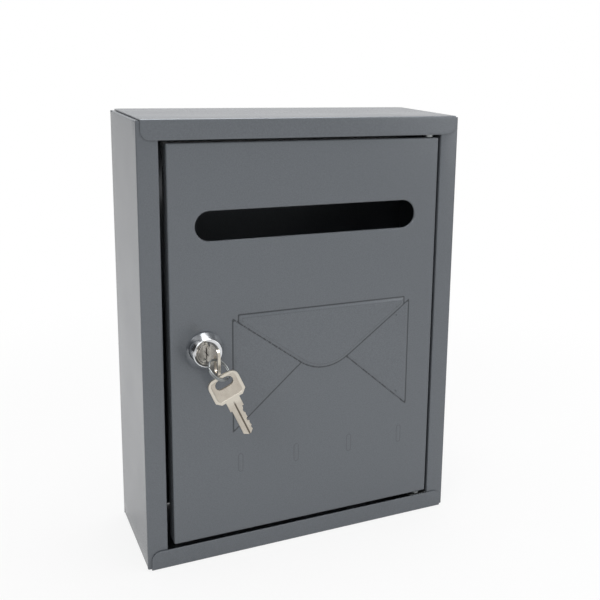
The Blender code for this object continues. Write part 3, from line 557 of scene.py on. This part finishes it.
# Painted shade for the creases: it is darkest at the foot of the emblem's walls. The flap's
# upper bend and the small bars get less of it.
foot_shade = 1 - np.abs(to_outline(x, z)) / CREASE_SHADE_REACH
foot_shade *= np.where(z > EMBLEM_BOTTOM - PRESS_MARGIN, 1, BAR_SHADE_SHARE)
bend_shade = BEND_SHADE_SHARE * (1 - np.abs(to_flap(x, z) + PRESS_WALL) / CREASE_SHADE_REACH)
crease_shade = door.data.attributes.new("crease_shade", "FLOAT", "POINT")
crease_shade.data.foreach_set("value", np.maximum.reduce([foot_shade, bend_shade, 0 * foot_shade]))


# ---------------------------------------------------------------------------
# Pivots. Two riveted pins carry the door between zinc-plated brackets, which are
# welded to the flange's return, with a plain sleeve between bracket and door.
# ---------------------------------------------------------------------------

ZINC_LIGHT = "A3A6A6"
ZINC_DARK = "84888A"


def zinc_plate():
    """Bright zinc electroplate on pressed steel: a soft metal sheen, clouded in patches a few
    millimetres across, with faint rolling lines."""
    made, tree, place = new_finish("zinc_plated_steel")
    cloud = add(tree, "ShaderNodeTexNoise", Vector=place, Scale=1 / (4 * MM), Detail=4.0)
    tone = add(tree, "ShaderNodeValToRGB", Fac=cloud.outputs["Fac"])
    tone.color_ramp.elements[0].color = linear(ZINC_DARK)
    tone.color_ramp.elements[1].color = linear(ZINC_LIGHT)
    gloss = add(tree, "ShaderNodeMapRange", Value=cloud.outputs["Fac"], To_Min=0.28, To_Max=0.45)
    rolled = add(tree, "ShaderNodeMapping", Vector=place, Scale=(1 / (0.4 * MM), 1 / (0.4 * MM), 8))
    grain = add(tree, "ShaderNodeTexNoise", Vector=rolled.outputs["Vector"], Scale=1.0, Detail=2.0)
    bump = add(tree, "ShaderNodeBump", Strength=0.15, Distance=0.02 * MM,
               Height=grain.outputs["Fac"])
    shader = add(tree, "ShaderNodeBsdfPrincipled", Base_Color=tone.outputs["Color"], Metallic=1.0,
                 Roughness=gloss.outputs["Result"], Normal=bump.outputs["Normal"])
    add(tree, "ShaderNodeOutputMaterial", Surface=shader.outputs["BSDF"])
    return made


def eased(node, finish, body, slot, ease=0.15 * MM):
    """A copy of a small stamped or machined piece, its loose triangles merged and its corners
    broken by a narrow bevel, as tumbling leaves them."""
    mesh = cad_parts[node].data.copy()
    mesh.materials.clear()
    bm = bmesh.new()
    bm.from_mesh(mesh)
    bmesh.ops.remove_doubles(bm, verts=bm.verts, dist=MERGE)
    bmesh.ops.dissolve_limit(bm, angle_limit=math.radians(1), verts=bm.verts, edges=bm.edges)
    bm.to_mesh(mesh)
    bm.free()
    obj = dressed(node + "_eased", mesh, finish, body, slot, node)
    bevel = obj.modifiers.new("broken_corners", "BEVEL")
    bevel.width = ease
    bevel.segments = 2
    bevel.limit_method = "ANGLE"
    bevel.angle_limit = math.radians(40)
    bevel.harden_normals = True
    return obj


ZINC = zinc_plate()

for place in ("upper", "lower"):
    eased(place + "_hinge_bracket", ZINC, "cabinet", "zinc")
    eased(place + "_hinge_pin", ZINC, "cabinet", "zinc")
    eased(place + "_pivot_spacer", ZINC, "cabinet", "zinc")


# ---------------------------------------------------------------------------
# Lock housing. A die-cast zinc body with a conical bezel, polished and chromed.
# Its barrel is threaded for the nut and has two flats that stop it turning.
# ---------------------------------------------------------------------------

GAP = 0.3 * MM
BEZEL_HEIGHT = 7.5 * MM
BEZEL_RIM = 1.3 * MM
BEZEL_FACE = 9.3 * MM
BORE = 6.8 * MM
BARREL = 8.8 * MM
BARREL_HALF = 8 * MM            # from the axis to a flat
THREAD_PITCH = 1.0 * MM
THREAD_DEPTH = 0.45 * MM
THREAD_ROWS = 8                 # rows of points along one pitch
TURN_STEPS = 96
EASE_POINTS = 5                 # on each eased corner of a turned outline

CHROME_TINT = "D9DBDD"


def chrome_plate():
    """Decorative chrome over polished die casting: a near mirror, with faint rings left by the
    polishing wheel about a third of a millimetre apart."""
    made, tree, place = new_finish("polished_chrome_plate")
    centred = add(tree, "ShaderNodeMapping", Vector=place, Location=(-lock_x, 0, 0))
    flat = add(tree, "ShaderNodeVectorMath", {"operation": "MULTIPLY"},
               _0=centred.outputs["Vector"], _1=(1, 0, 1))
    radius = add(tree, "ShaderNodeVectorMath", {"operation": "LENGTH"}, _0=flat.outputs[0])
    rings = add(tree, "ShaderNodeMath", {"operation": "MULTIPLY"}, _0=radius.outputs["Value"],
                _1=1 / (0.33 * MM))
    grain = add(tree, "ShaderNodeTexNoise", {"noise_dimensions": "1D"}, W=rings.outputs[0],
                Scale=1.0, Detail=2.0)
    bump = add(tree, "ShaderNodeBump", Strength=0.08, Distance=0.01 * MM,
               Height=grain.outputs["Fac"])
    haze = add(tree, "ShaderNodeTexNoise", Vector=place, Scale=1 / (5 * MM), Detail=3.0)
    gloss = add(tree, "ShaderNodeMapRange", Value=haze.outputs["Fac"], To_Min=0.05, To_Max=0.13)
    shader = add(tree, "ShaderNodeBsdfPrincipled", Base_Color=linear(CHROME_TINT), Metallic=1.0,
                 Roughness=gloss.outputs["Result"], Normal=bump.outputs["Normal"])
    add(tree, "ShaderNodeOutputMaterial", Surface=shader.outputs["BSDF"])
    return made


def eased_outline(corners, ease):
    """A closed outline with each corner P eased by a parabola, P - a e (1 - t)^2 + b e t^2,
    where a and b are the directions into and out of the corner."""
    corners = np.array(corners, float)
    ways = np.roll(corners, -1, 0) - corners
    ways /= np.linalg.norm(ways, axis=1)[:, None]
    into, out = np.roll(ways, 1, 0)[:, None], ways[:, None]
    t = np.linspace(0, 1, EASE_POINTS)[:, None]
    reach = np.broadcast_to(ease, len(corners))[:, None, None]
    return (corners[:, None] + reach * (out * t ** 2 - into * (1 - t) ** 2)).reshape(-1, 2)


CHROME = chrome_plate()

bezel_back = front - GAP
barrel_length = lock_high.y - bezel_back
bezel = eased_outline([(BORE, BEZEL_HEIGHT), (BEZEL_FACE, BEZEL_HEIGHT),
                       (lock_high.x - lock_x, BEZEL_RIM), (lock_high.x - lock_x, 0), (BARREL, 0),
                       (BARREL, -barrel_length), (BORE, -barrel_length)],
                      np.array([0.3, 0.5, 0.5, 0.2, 0.1, 0.4, 0.2]) * MM)
barrel_end = 5 * EASE_POINTS    # first point past the bezel's back, the fifth corner
thread_rows = np.linspace(-THREAD_PITCH, -barrel_length + THREAD_PITCH,
                          round(THREAD_ROWS * barrel_length / THREAD_PITCH))
bezel = np.insert(bezel, barrel_end, np.stack([np.full(len(thread_rows), BARREL), thread_rows], -1),
                  axis=0)
turn = np.linspace(0, 2 * math.pi, TURN_STEPS, endpoint=False)
radius, height = bezel.T[..., None]
# A thread: the crest climbs one pitch a turn, and the flanks fall evenly to either side of it.
climb = (height / THREAD_PITCH - turn / (2 * math.pi)) % 1
threaded = np.zeros((len(bezel), 1), bool)
threaded[barrel_end:barrel_end + len(thread_rows)] = True
radius = radius - np.where(threaded, THREAD_DEPTH * np.abs(2 * climb - 1), 0)
barrel_side = np.where(height < 0, BARREL_HALF, BARREL * 2)
housing = np.stack([lock_x + np.clip(radius * np.cos(turn), -barrel_side, barrel_side),
                    bezel_back - height + 0 * turn, radius * np.sin(turn)], -1)
housing_table = np.arange(housing[..., 0].size).reshape(housing.shape[:2])
closed_table = np.pad(housing_table, ((0, 1), (0, 1)), "wrap")
piece("lock_body", housing.reshape(-1, 3), cells_of(closed_table), CHROME, "door", "chrome",
      "lock_housing", closed=True)


# ---------------------------------------------------------------------------
# Lock works. A chromed plug turns in the housing. Five stamped brass wafers on
# small coil springs block it, and a screw holds the cam on its square end. A
# brass nut clamps the housing to the door.
# ---------------------------------------------------------------------------

WAFERS = 5
SPRING_WIRE = 0.12 * MM
SPRING_TURNS = 5
SPRING_STEPS = 24               # points along each turn
SPRING_SIDES = 8
FINE_EASE = 0.06 * MM

BRASS_LIGHT = "C9A667"
BRASS_DARK = "A98548"


def stamped_brass():
    """Brass strip, sheared and tumbled: a warm metal with darker tarnish in patches about 3 mm
    across and fine tumbling scratches."""
    made, tree, place = new_finish("stamped_brass")
    tarnish = add(tree, "ShaderNodeTexNoise", Vector=place, Scale=1 / (3 * MM), Detail=4.0)
    tone = add(tree, "ShaderNodeValToRGB", Fac=tarnish.outputs["Fac"])
    tone.color_ramp.elements[0].color = linear(BRASS_DARK)
    tone.color_ramp.elements[1].color = linear(BRASS_LIGHT)
    gloss = add(tree, "ShaderNodeMapRange", Value=tarnish.outputs["Fac"], To_Min=0.25, To_Max=0.42)
    scratch = add(tree, "ShaderNodeTexNoise", Vector=place, Scale=1 / (0.25 * MM), Detail=2.0)
    bump = add(tree, "ShaderNodeBump", Strength=0.2, Distance=0.01 * MM,
               Height=scratch.outputs["Fac"])
    shader = add(tree, "ShaderNodeBsdfPrincipled", Base_Color=tone.outputs["Color"], Metallic=1.0,
                 Roughness=gloss.outputs["Result"], Normal=bump.outputs["Normal"])
    add(tree, "ShaderNodeOutputMaterial", Surface=shader.outputs["BSDF"])
    return made


def round_wire(path, radius, side, sides):
    """A tube round a path, as points and quads: radius (n cos t + m sin t) is added to each
    point, with n and m square to the path and `side` nearest to n. The ends close to a point."""
    along = np.gradient(path, axis=0)
    along /= np.linalg.norm(along, axis=1)[:, None]
    n = side - (side * along).sum(1)[:, None] * along
    n /= np.linalg.norm(n, axis=1)[:, None]
    m = np.cross(along, n)
    t = np.linspace(0, 2 * math.pi, sides, endpoint=False)[:, None]
    rows = np.r_[0, np.arange(len(path)), len(path) - 1]
    size = np.r_[0, np.full(len(path), radius), 0][:, None, None]
    ring = n[rows, None] * np.cos(t) + m[rows, None] * np.sin(t)
    points = path[rows, None] + size * ring
    table = np.arange(points[..., 0].size).reshape(points.shape[:2])
    return points.reshape(-1, 3), cells_of(np.concatenate([table, table[:, :1]], 1))


def wafer_spring(node):
    """A coil that fills its CAD node's box: it climbs evenly as it goes round."""
    low, high = map(np.array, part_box(node))
    centre = (low + high) / 2
    turn = np.linspace(0, 2 * math.pi * SPRING_TURNS, SPRING_STEPS * SPRING_TURNS)
    spoke = np.stack([np.cos(turn), np.sin(turn), 0 * turn], -1)
    path = centre + ((high[0] - low[0]) / 2 - SPRING_WIRE) * spoke
    path[:, 2] = np.linspace(low[2] + SPRING_WIRE, high[2] - SPRING_WIRE, len(turn))
    points, quads = round_wire(path, SPRING_WIRE, spoke, SPRING_SIDES)
    piece(node + "_coil", points, quads, ZINC, "plug", "zinc", node, closed=True)


BRASS = stamped_brass()

eased("lock_nut", BRASS, "door", "brass", 0.3 * MM)
eased("lock_plug", CHROME, "plug", "chrome")
for index in range(1, WAFERS + 1):
    eased("lock_wafer_%d" % index, BRASS, "plug", "brass", FINE_EASE)
    wafer_spring("wafer_spring_%d" % index)
eased("lock_cam", ZINC, "plug", "zinc", 0.25 * MM)
eased("cam_washer", ZINC, "plug", "zinc")
eased("cam_screw", ZINC, "plug", "zinc")


# ---------------------------------------------------------------------------
# Keys and ring. Two keys are stamped from nickel-plated strip, with a raised
# border pressed into each bow, and hang on a split ring of spring wire.
# ---------------------------------------------------------------------------

BOW_WIDTH = 20.5 * MM
BOW_LENGTH = 18 * MM
BOW_BORDER = 1.7 * MM
BOW_SLOT_LENGTH = 12 * MM
BOW_SLOT_WIDTH = 6.6 * MM
BOW_SLOT_IN = 5.3 * MM
GROOVE_HALF = 0.5 * MM
GROOVE_START = 19 * MM          # from the bow's end
GROOVE_FADE = 3 * MM            # stretch in which the groove runs out
KEY_EASE = 0.25 * MM
KEY_1_SLIP = 1.6 * MM           # how far the ring has slid in key 1's slot
KEY_2_TILT = math.radians(24.5)
KEY_2_SLIP = (2.2 * MM, -0.9 * MM)   # ring's place in key 2's slot, across and along
RING_RADIUS = 7.5 * MM
RING_WIRE = 0.48 * MM           # its radius, a little less than the solid's, to clear the slots
RING_PITCH = 1.1 * MM
RING_TILT = math.radians(45)
RING_HEADING = math.radians(-50)     # where the ring's low side points
RING_KEY_1 = math.radians(141)  # key 1's place on the ring, from its lowest point
RING_START = math.radians(-110)
RING_SHORT = math.radians(16)   # what the ring lacks of two full turns
RING_CROSSING = math.radians(68)     # stretch in which the wire steps over
RING_STEPS = 260
RING_SIDES = 14

NICKEL_LIGHT = "D2CCC0"
NICKEL_DARK = "A1968A"
# the colour below darkens the groove along the blade
GROOVE_DARK = "4A4238"


def nickel_key(name, end, rotation):
    """Nickel plate on a stamped key, warm and lightly scratched along its length. The bow's
    border stands a little proud, so its middle takes the darker, duller tone of the die. `end`
    is the bow's end, and `rotation` turns the key's own axes, across and along, into the
    object's."""
    made, tree, place = new_finish(name)
    own = add(tree, "ShaderNodeMapping", {"vector_type": "TEXTURE"}, Vector=place,
              Location=end, Rotation=rotation)
    split = add(tree, "ShaderNodeSeparateXYZ", Vector=own.outputs["Vector"])
    across = add(tree, "ShaderNodeMath", {"operation": "ABSOLUTE"}, _0=split.outputs["X"])
    across = add(tree, "ShaderNodeMath", {"operation": "SUBTRACT"}, _0=across.outputs[0],
                 _1=BOW_WIDTH / 2)
    along = add(tree, "ShaderNodeMath", {"operation": "SUBTRACT"}, _0=split.outputs["Y"],
                _1=BOW_LENGTH / 2)
    along = add(tree, "ShaderNodeMath", {"operation": "ABSOLUTE"}, _0=along.outputs[0])
    along = add(tree, "ShaderNodeMath", {"operation": "SUBTRACT"}, _0=along.outputs[0],
                _1=BOW_LENGTH / 2)
    edge = add(tree, "ShaderNodeMath", {"operation": "SMOOTH_MAX"}, _0=across.outputs[0],
               _1=along.outputs[0], _2=3 * MM)
    rise = add(tree, "ShaderNodeMapRange", {"interpolation_type": "SMOOTHSTEP"},
               Value=edge.outputs[0], From_Min=-BOW_BORDER - 0.4 * MM, From_Max=-BOW_BORDER)
    streaks = add(tree, "ShaderNodeMapping", Vector=own.outputs["Vector"],
                  Scale=(1 / (0.3 * MM), 1 / (6 * MM), 1 / (0.3 * MM)))
    scratch = add(tree, "ShaderNodeTexNoise", Vector=streaks.outputs["Vector"], Scale=1.0,
                  Detail=3.0)
    worn = add(tree, "ShaderNodeTexNoise", Vector=place, Scale=1 / (5 * MM), Detail=3.0)
    # The blade has lost its shine in the lock; the bow keeps it.
    dulled = add(tree, "ShaderNodeMapRange", Value=split.outputs["Y"], From_Min=BOW_LENGTH,
                 From_Max=GROOVE_START + GROOVE_FADE, To_Min=0.4, To_Max=0.1)
    shade = add(tree, "ShaderNodeMath", {"operation": "MULTIPLY_ADD"}, _0=rise.outputs["Result"],
                _1=0.35, _2=dulled.outputs["Result"])
    shade = add(tree, "ShaderNodeMath", {"operation": "MULTIPLY_ADD"}, _0=worn.outputs["Fac"],
                _1=0.4, _2=shade.outputs[0])
    tone = add(tree, "ShaderNodeValToRGB", Fac=shade.outputs[0])
    tone.color_ramp.elements[0].position = 0.3
    tone.color_ramp.elements[0].color = linear(NICKEL_DARK)
    tone.color_ramp.elements[1].position = 0.85
    tone.color_ramp.elements[1].color = linear(NICKEL_LIGHT)
    # The groove along the blade is painted darker.
    beside = add(tree, "ShaderNodeMath", {"operation": "ABSOLUTE"}, _0=split.outputs["X"])
    beside = add(tree, "ShaderNodeMapRange", Value=beside.outputs[0],
                 From_Min=GROOVE_HALF + 0.1 * MM, From_Max=GROOVE_HALF - 0.1 * MM)
    begun = add(tree, "ShaderNodeMapRange", Value=split.outputs["Y"], From_Min=GROOVE_START,
                From_Max=GROOVE_START + GROOVE_FADE, To_Max=0.85)
    groove_darkening = add(tree, "ShaderNodeMath", {"operation": "MULTIPLY"}, _0=beside.outputs["Result"],
                _1=begun.outputs["Result"])
    colour = add(tree, "ShaderNodeMix", {"data_type": "RGBA"}, _0=groove_darkening.outputs[0],
                 _6=tone.outputs["Color"], _7=linear(GROOVE_DARK))
    gloss = add(tree, "ShaderNodeMapRange", Value=scratch.outputs["Fac"], To_Min=0.2, To_Max=0.4)
    fine = add(tree, "ShaderNodeBump", Strength=0.25, Distance=0.01 * MM,
               Height=scratch.outputs["Fac"])
    border = add(tree, "ShaderNodeBump", Strength=1.0, Distance=0.25 * MM,
                 Height=rise.outputs["Result"], Normal=fine.outputs["Normal"])
    shader = add(tree, "ShaderNodeBsdfPrincipled", Base_Color=colour.outputs[2], Metallic=1.0,
                 Roughness=gloss.outputs["Result"], Normal=border.outputs["Normal"])
    add(tree, "ShaderNodeOutputMaterial", Surface=shader.outputs["BSDF"])
    return made


bow_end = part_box("key_1")[0].y
low_side = np.array([math.cos(RING_HEADING) * math.cos(RING_TILT),
                     math.sin(RING_HEADING) * math.cos(RING_TILT), -math.sin(RING_TILT)])
level_side = np.array([-math.sin(RING_HEADING), math.cos(RING_HEADING), 0])
ring_axis = np.cross(low_side, level_side)
ring_in_key_1 = np.array([lock_x, bow_end + BOW_SLOT_IN - KEY_1_SLIP,
                          (BOW_SLOT_LENGTH - BOW_SLOT_WIDTH) / 2])
ring_centre = ring_in_key_1 - RING_RADIUS * (low_side * math.cos(RING_KEY_1)
                                             + level_side * math.sin(RING_KEY_1))
# The wire goes round twice, and steps over from one turn to the other on a smooth S.
wound = np.linspace(0, 4 * math.pi - RING_SHORT, RING_STEPS)
step = np.clip((wound - wound[-1] / 2) / RING_CROSSING + 0.5, 0, 1)
layer = (step * step * (3 - 2 * step) - 0.5) * RING_PITCH
angle = wound + RING_START
spokes = np.outer(np.cos(angle), low_side) + np.outer(np.sin(angle), level_side)
ring_path = ring_centre + RING_RADIUS * spokes + np.outer(layer, ring_axis)
ring_points, ring_quads = round_wire(ring_path, RING_WIRE, spokes, RING_SIDES)

key_2_along = np.array([math.sin(KEY_2_TILT), 0, -math.cos(KEY_2_TILT)])
key_2_across = np.array([math.cos(KEY_2_TILT), 0, math.sin(KEY_2_TILT)])
key_2_end = (ring_centre + RING_RADIUS * low_side - KEY_2_SLIP[0] * key_2_across
             - (KEY_2_SLIP[1] + BOW_SLOT_IN) * key_2_along)

eased("key_1", nickel_key("nickel_key_in_lock", (lock_x, bow_end, 0), (0, math.pi / 2, 0)),
      "key", "nickel", KEY_EASE)
eased("key_2", nickel_key("nickel_key_hanging", key_2_end, (-math.pi / 2, -KEY_2_TILT, 0)),
      "spare_key", "nickel", KEY_EASE)
piece("split_ring", ring_points, ring_quads, ZINC, "ring", "nickel", "key_ring", closed=True)


# ---------------------------------------------------------------------------
# Studio. The box stands on a white sweep, among large soft lights. Its polished
# pieces mirror a white backdrop, a half-lit room in front and dark wings beside it.
# ---------------------------------------------------------------------------

FLOOR_REACH = 6.0
FLOOR_GAP = 0.2 * MM
ROOM_LIGHT = 0.4                # on everything but mirrors
FRONT_LIGHT = 0.65              # in mirrors: the room in front, its wings, the backdrop, the top
WING_LIGHT = 0.05
BACK_LIGHT = 0.75
OVERHEAD_LIGHT = 0.8
CAMERA_PLACE = (-0.2201, -0.6300, 0.1971)
CAMERA_TURN = (77.952, -1.635, -26.560)      # degrees
CAMERA_LENS = 53.69
CAMERA_SHIFT = (-0.142, -0.1058)


def mirrored_level(tree, place):
    """What mirrors show at a place or in a direction: the white backdrop behind the box, the
    half-lit room in front of it, and dark wings of the studio to its left and right."""
    split = add(tree, "ShaderNodeSeparateXYZ", Vector=place)
    across = add(tree, "ShaderNodeMath", {"operation": "ABSOLUTE"}, _0=split.outputs["X"])
    along = add(tree, "ShaderNodeMath", {"operation": "ABSOLUTE"}, _0=split.outputs["Y"])
    wing = add(tree, "ShaderNodeMath", {"operation": "SUBTRACT"}, _0=along.outputs[0],
               _1=across.outputs[0])
    lit = add(tree, "ShaderNodeMapRange", {"interpolation_type": "SMOOTHSTEP"},
              Value=wing.outputs[0], From_Min=-0.5, From_Max=0.2, To_Min=WING_LIGHT)
    hall = add(tree, "ShaderNodeMapRange", {"interpolation_type": "SMOOTHSTEP"},
               Value=split.outputs["Y"], From_Min=-0.1, From_Max=0.1, To_Min=FRONT_LIGHT,
               To_Max=BACK_LIGHT)
    return add(tree, "ShaderNodeMath", {"operation": "MULTIPLY"}, _0=lit.outputs["Result"],
               _1=hall.outputs["Result"]).outputs[0]


def white_sweep():
    """Paper backdrop: plain white to the eye, and it keeps part of the object's shadow."""
    made, tree, place = new_finish("white_paper_sweep")
    fibre = add(tree, "ShaderNodeTexNoise", Vector=place, Scale=1 / (3 * MM), Detail=2.0)
    tone = add(tree, "ShaderNodeMapRange", Value=fibre.outputs["Fac"], To_Min=0.62, To_Max=0.66)
    paper = add(tree, "ShaderNodeBsdfDiffuse", Color=tone.outputs["Result"])
    glow = add(tree, "ShaderNodeEmission", Strength=1.0)
    reach = add(tree, "ShaderNodeVectorMath", {"operation": "LENGTH"}, _0=place)
    near = add(tree, "ShaderNodeMapRange", {"interpolation_type": "SMOOTHSTEP"},
               Value=reach.outputs["Value"], From_Min=0.25, From_Max=0.6, To_Min=0.85, To_Max=1.0)
    ray = add(tree, "ShaderNodeLightPath")
    seen = add(tree, "ShaderNodeMath", {"operation": "MULTIPLY"}, _0=ray.outputs["Is Camera Ray"],
               _1=near.outputs["Result"])
    share = add(tree, "ShaderNodeMath", {"operation": "MULTIPLY_ADD"},
                _0=ray.outputs["Is Glossy Ray"], _1=mirrored_level(tree, place), _2=seen.outputs[0])
    mixed = add(tree, "ShaderNodeMixShader", _0=share.outputs[0], _1=paper.outputs[0],
                _2=glow.outputs[0])
    add(tree, "ShaderNodeOutputMaterial", Surface=mixed.outputs[0])
    return made


def white_room():
    """World: white to the camera. Mirrors see the studio all round, and light overhead."""
    world = bpy.data.worlds.new("white_room")
    world.use_nodes = True
    tree = world.node_tree
    tree.nodes.clear()
    way = add(tree, "ShaderNodeTexCoord").outputs["Generated"]
    height = add(tree, "ShaderNodeSeparateXYZ", Vector=way).outputs["Z"]
    overhead = add(tree, "ShaderNodeMapRange", {"interpolation_type": "SMOOTHSTEP"},
                   Value=height, From_Min=0.45, From_Max=0.85, To_Max=OVERHEAD_LIGHT)
    level = add(tree, "ShaderNodeMath", {"operation": "MAXIMUM"}, _0=mirrored_level(tree, way),
                _1=overhead.outputs["Result"])
    ray = add(tree, "ShaderNodeLightPath")
    mirrored = add(tree, "ShaderNodeMix", _0=ray.outputs["Is Glossy Ray"], _2=ROOM_LIGHT,
                   _3=level.outputs[0])
    colour = add(tree, "ShaderNodeMix", _0=ray.outputs["Is Camera Ray"],
                 _2=mirrored.outputs[0], _3=1.0)
    light = add(tree, "ShaderNodeBackground", Color=colour.outputs[0], Strength=1.0)
    add(tree, "ShaderNodeOutputWorld", Surface=light.outputs[0])
    bpy.context.scene.world = world


def softbox(name, place, target, size, power):
    """A square area light that faces its target."""
    lamp = bpy.data.lights.new(name, "AREA")
    lamp.size = size
    lamp.energy = power
    obj = bpy.data.objects.new(name, lamp)
    obj.location = place
    obj.rotation_euler = (Vector(target) - Vector(place)).to_track_quat("-Z", "Y").to_euler()
    bpy.context.scene.collection.objects.link(obj)


low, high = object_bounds()
middle = (low + high) / 2

floor_mesh = bpy.data.meshes.new("floor")
floor_corners = [(-FLOOR_REACH, -FLOOR_REACH), (FLOOR_REACH, -FLOOR_REACH),
                 (FLOOR_REACH, FLOOR_REACH), (-FLOOR_REACH, FLOOR_REACH)]
floor_mesh.from_pydata([(x, y, low.z - FLOOR_GAP) for x, y in floor_corners], [], [(0, 1, 2, 3)])
floor_mesh.materials.append(white_sweep())
floor = bpy.data.objects.new("floor", floor_mesh)
bpy.context.scene.collection.objects.link(floor)

white_room()
softbox("key_light", (-1.1, -1.3, 1.2), middle, 1.0, 13)
softbox("fill_light", (1.3, -1.2, 0.5), middle, 1.2, 6)
softbox("top_light", (0.1, 0.0, 1.3), middle, 1.0, 20)

camera = bpy.data.objects.new("camera", bpy.data.cameras.new("camera"))
camera.location = CAMERA_PLACE
camera.rotation_euler = Euler([math.radians(angle) for angle in CAMERA_TURN])
camera.data.sensor_width = 36
camera.data.lens = CAMERA_LENS
camera.data.shift_x, camera.data.shift_y = CAMERA_SHIFT
camera.data.clip_start = 0.01
bpy.context.scene.collection.objects.link(camera)
bpy.context.scene.camera = camera
bpy.context.scene.view_settings.view_transform = "Standard"
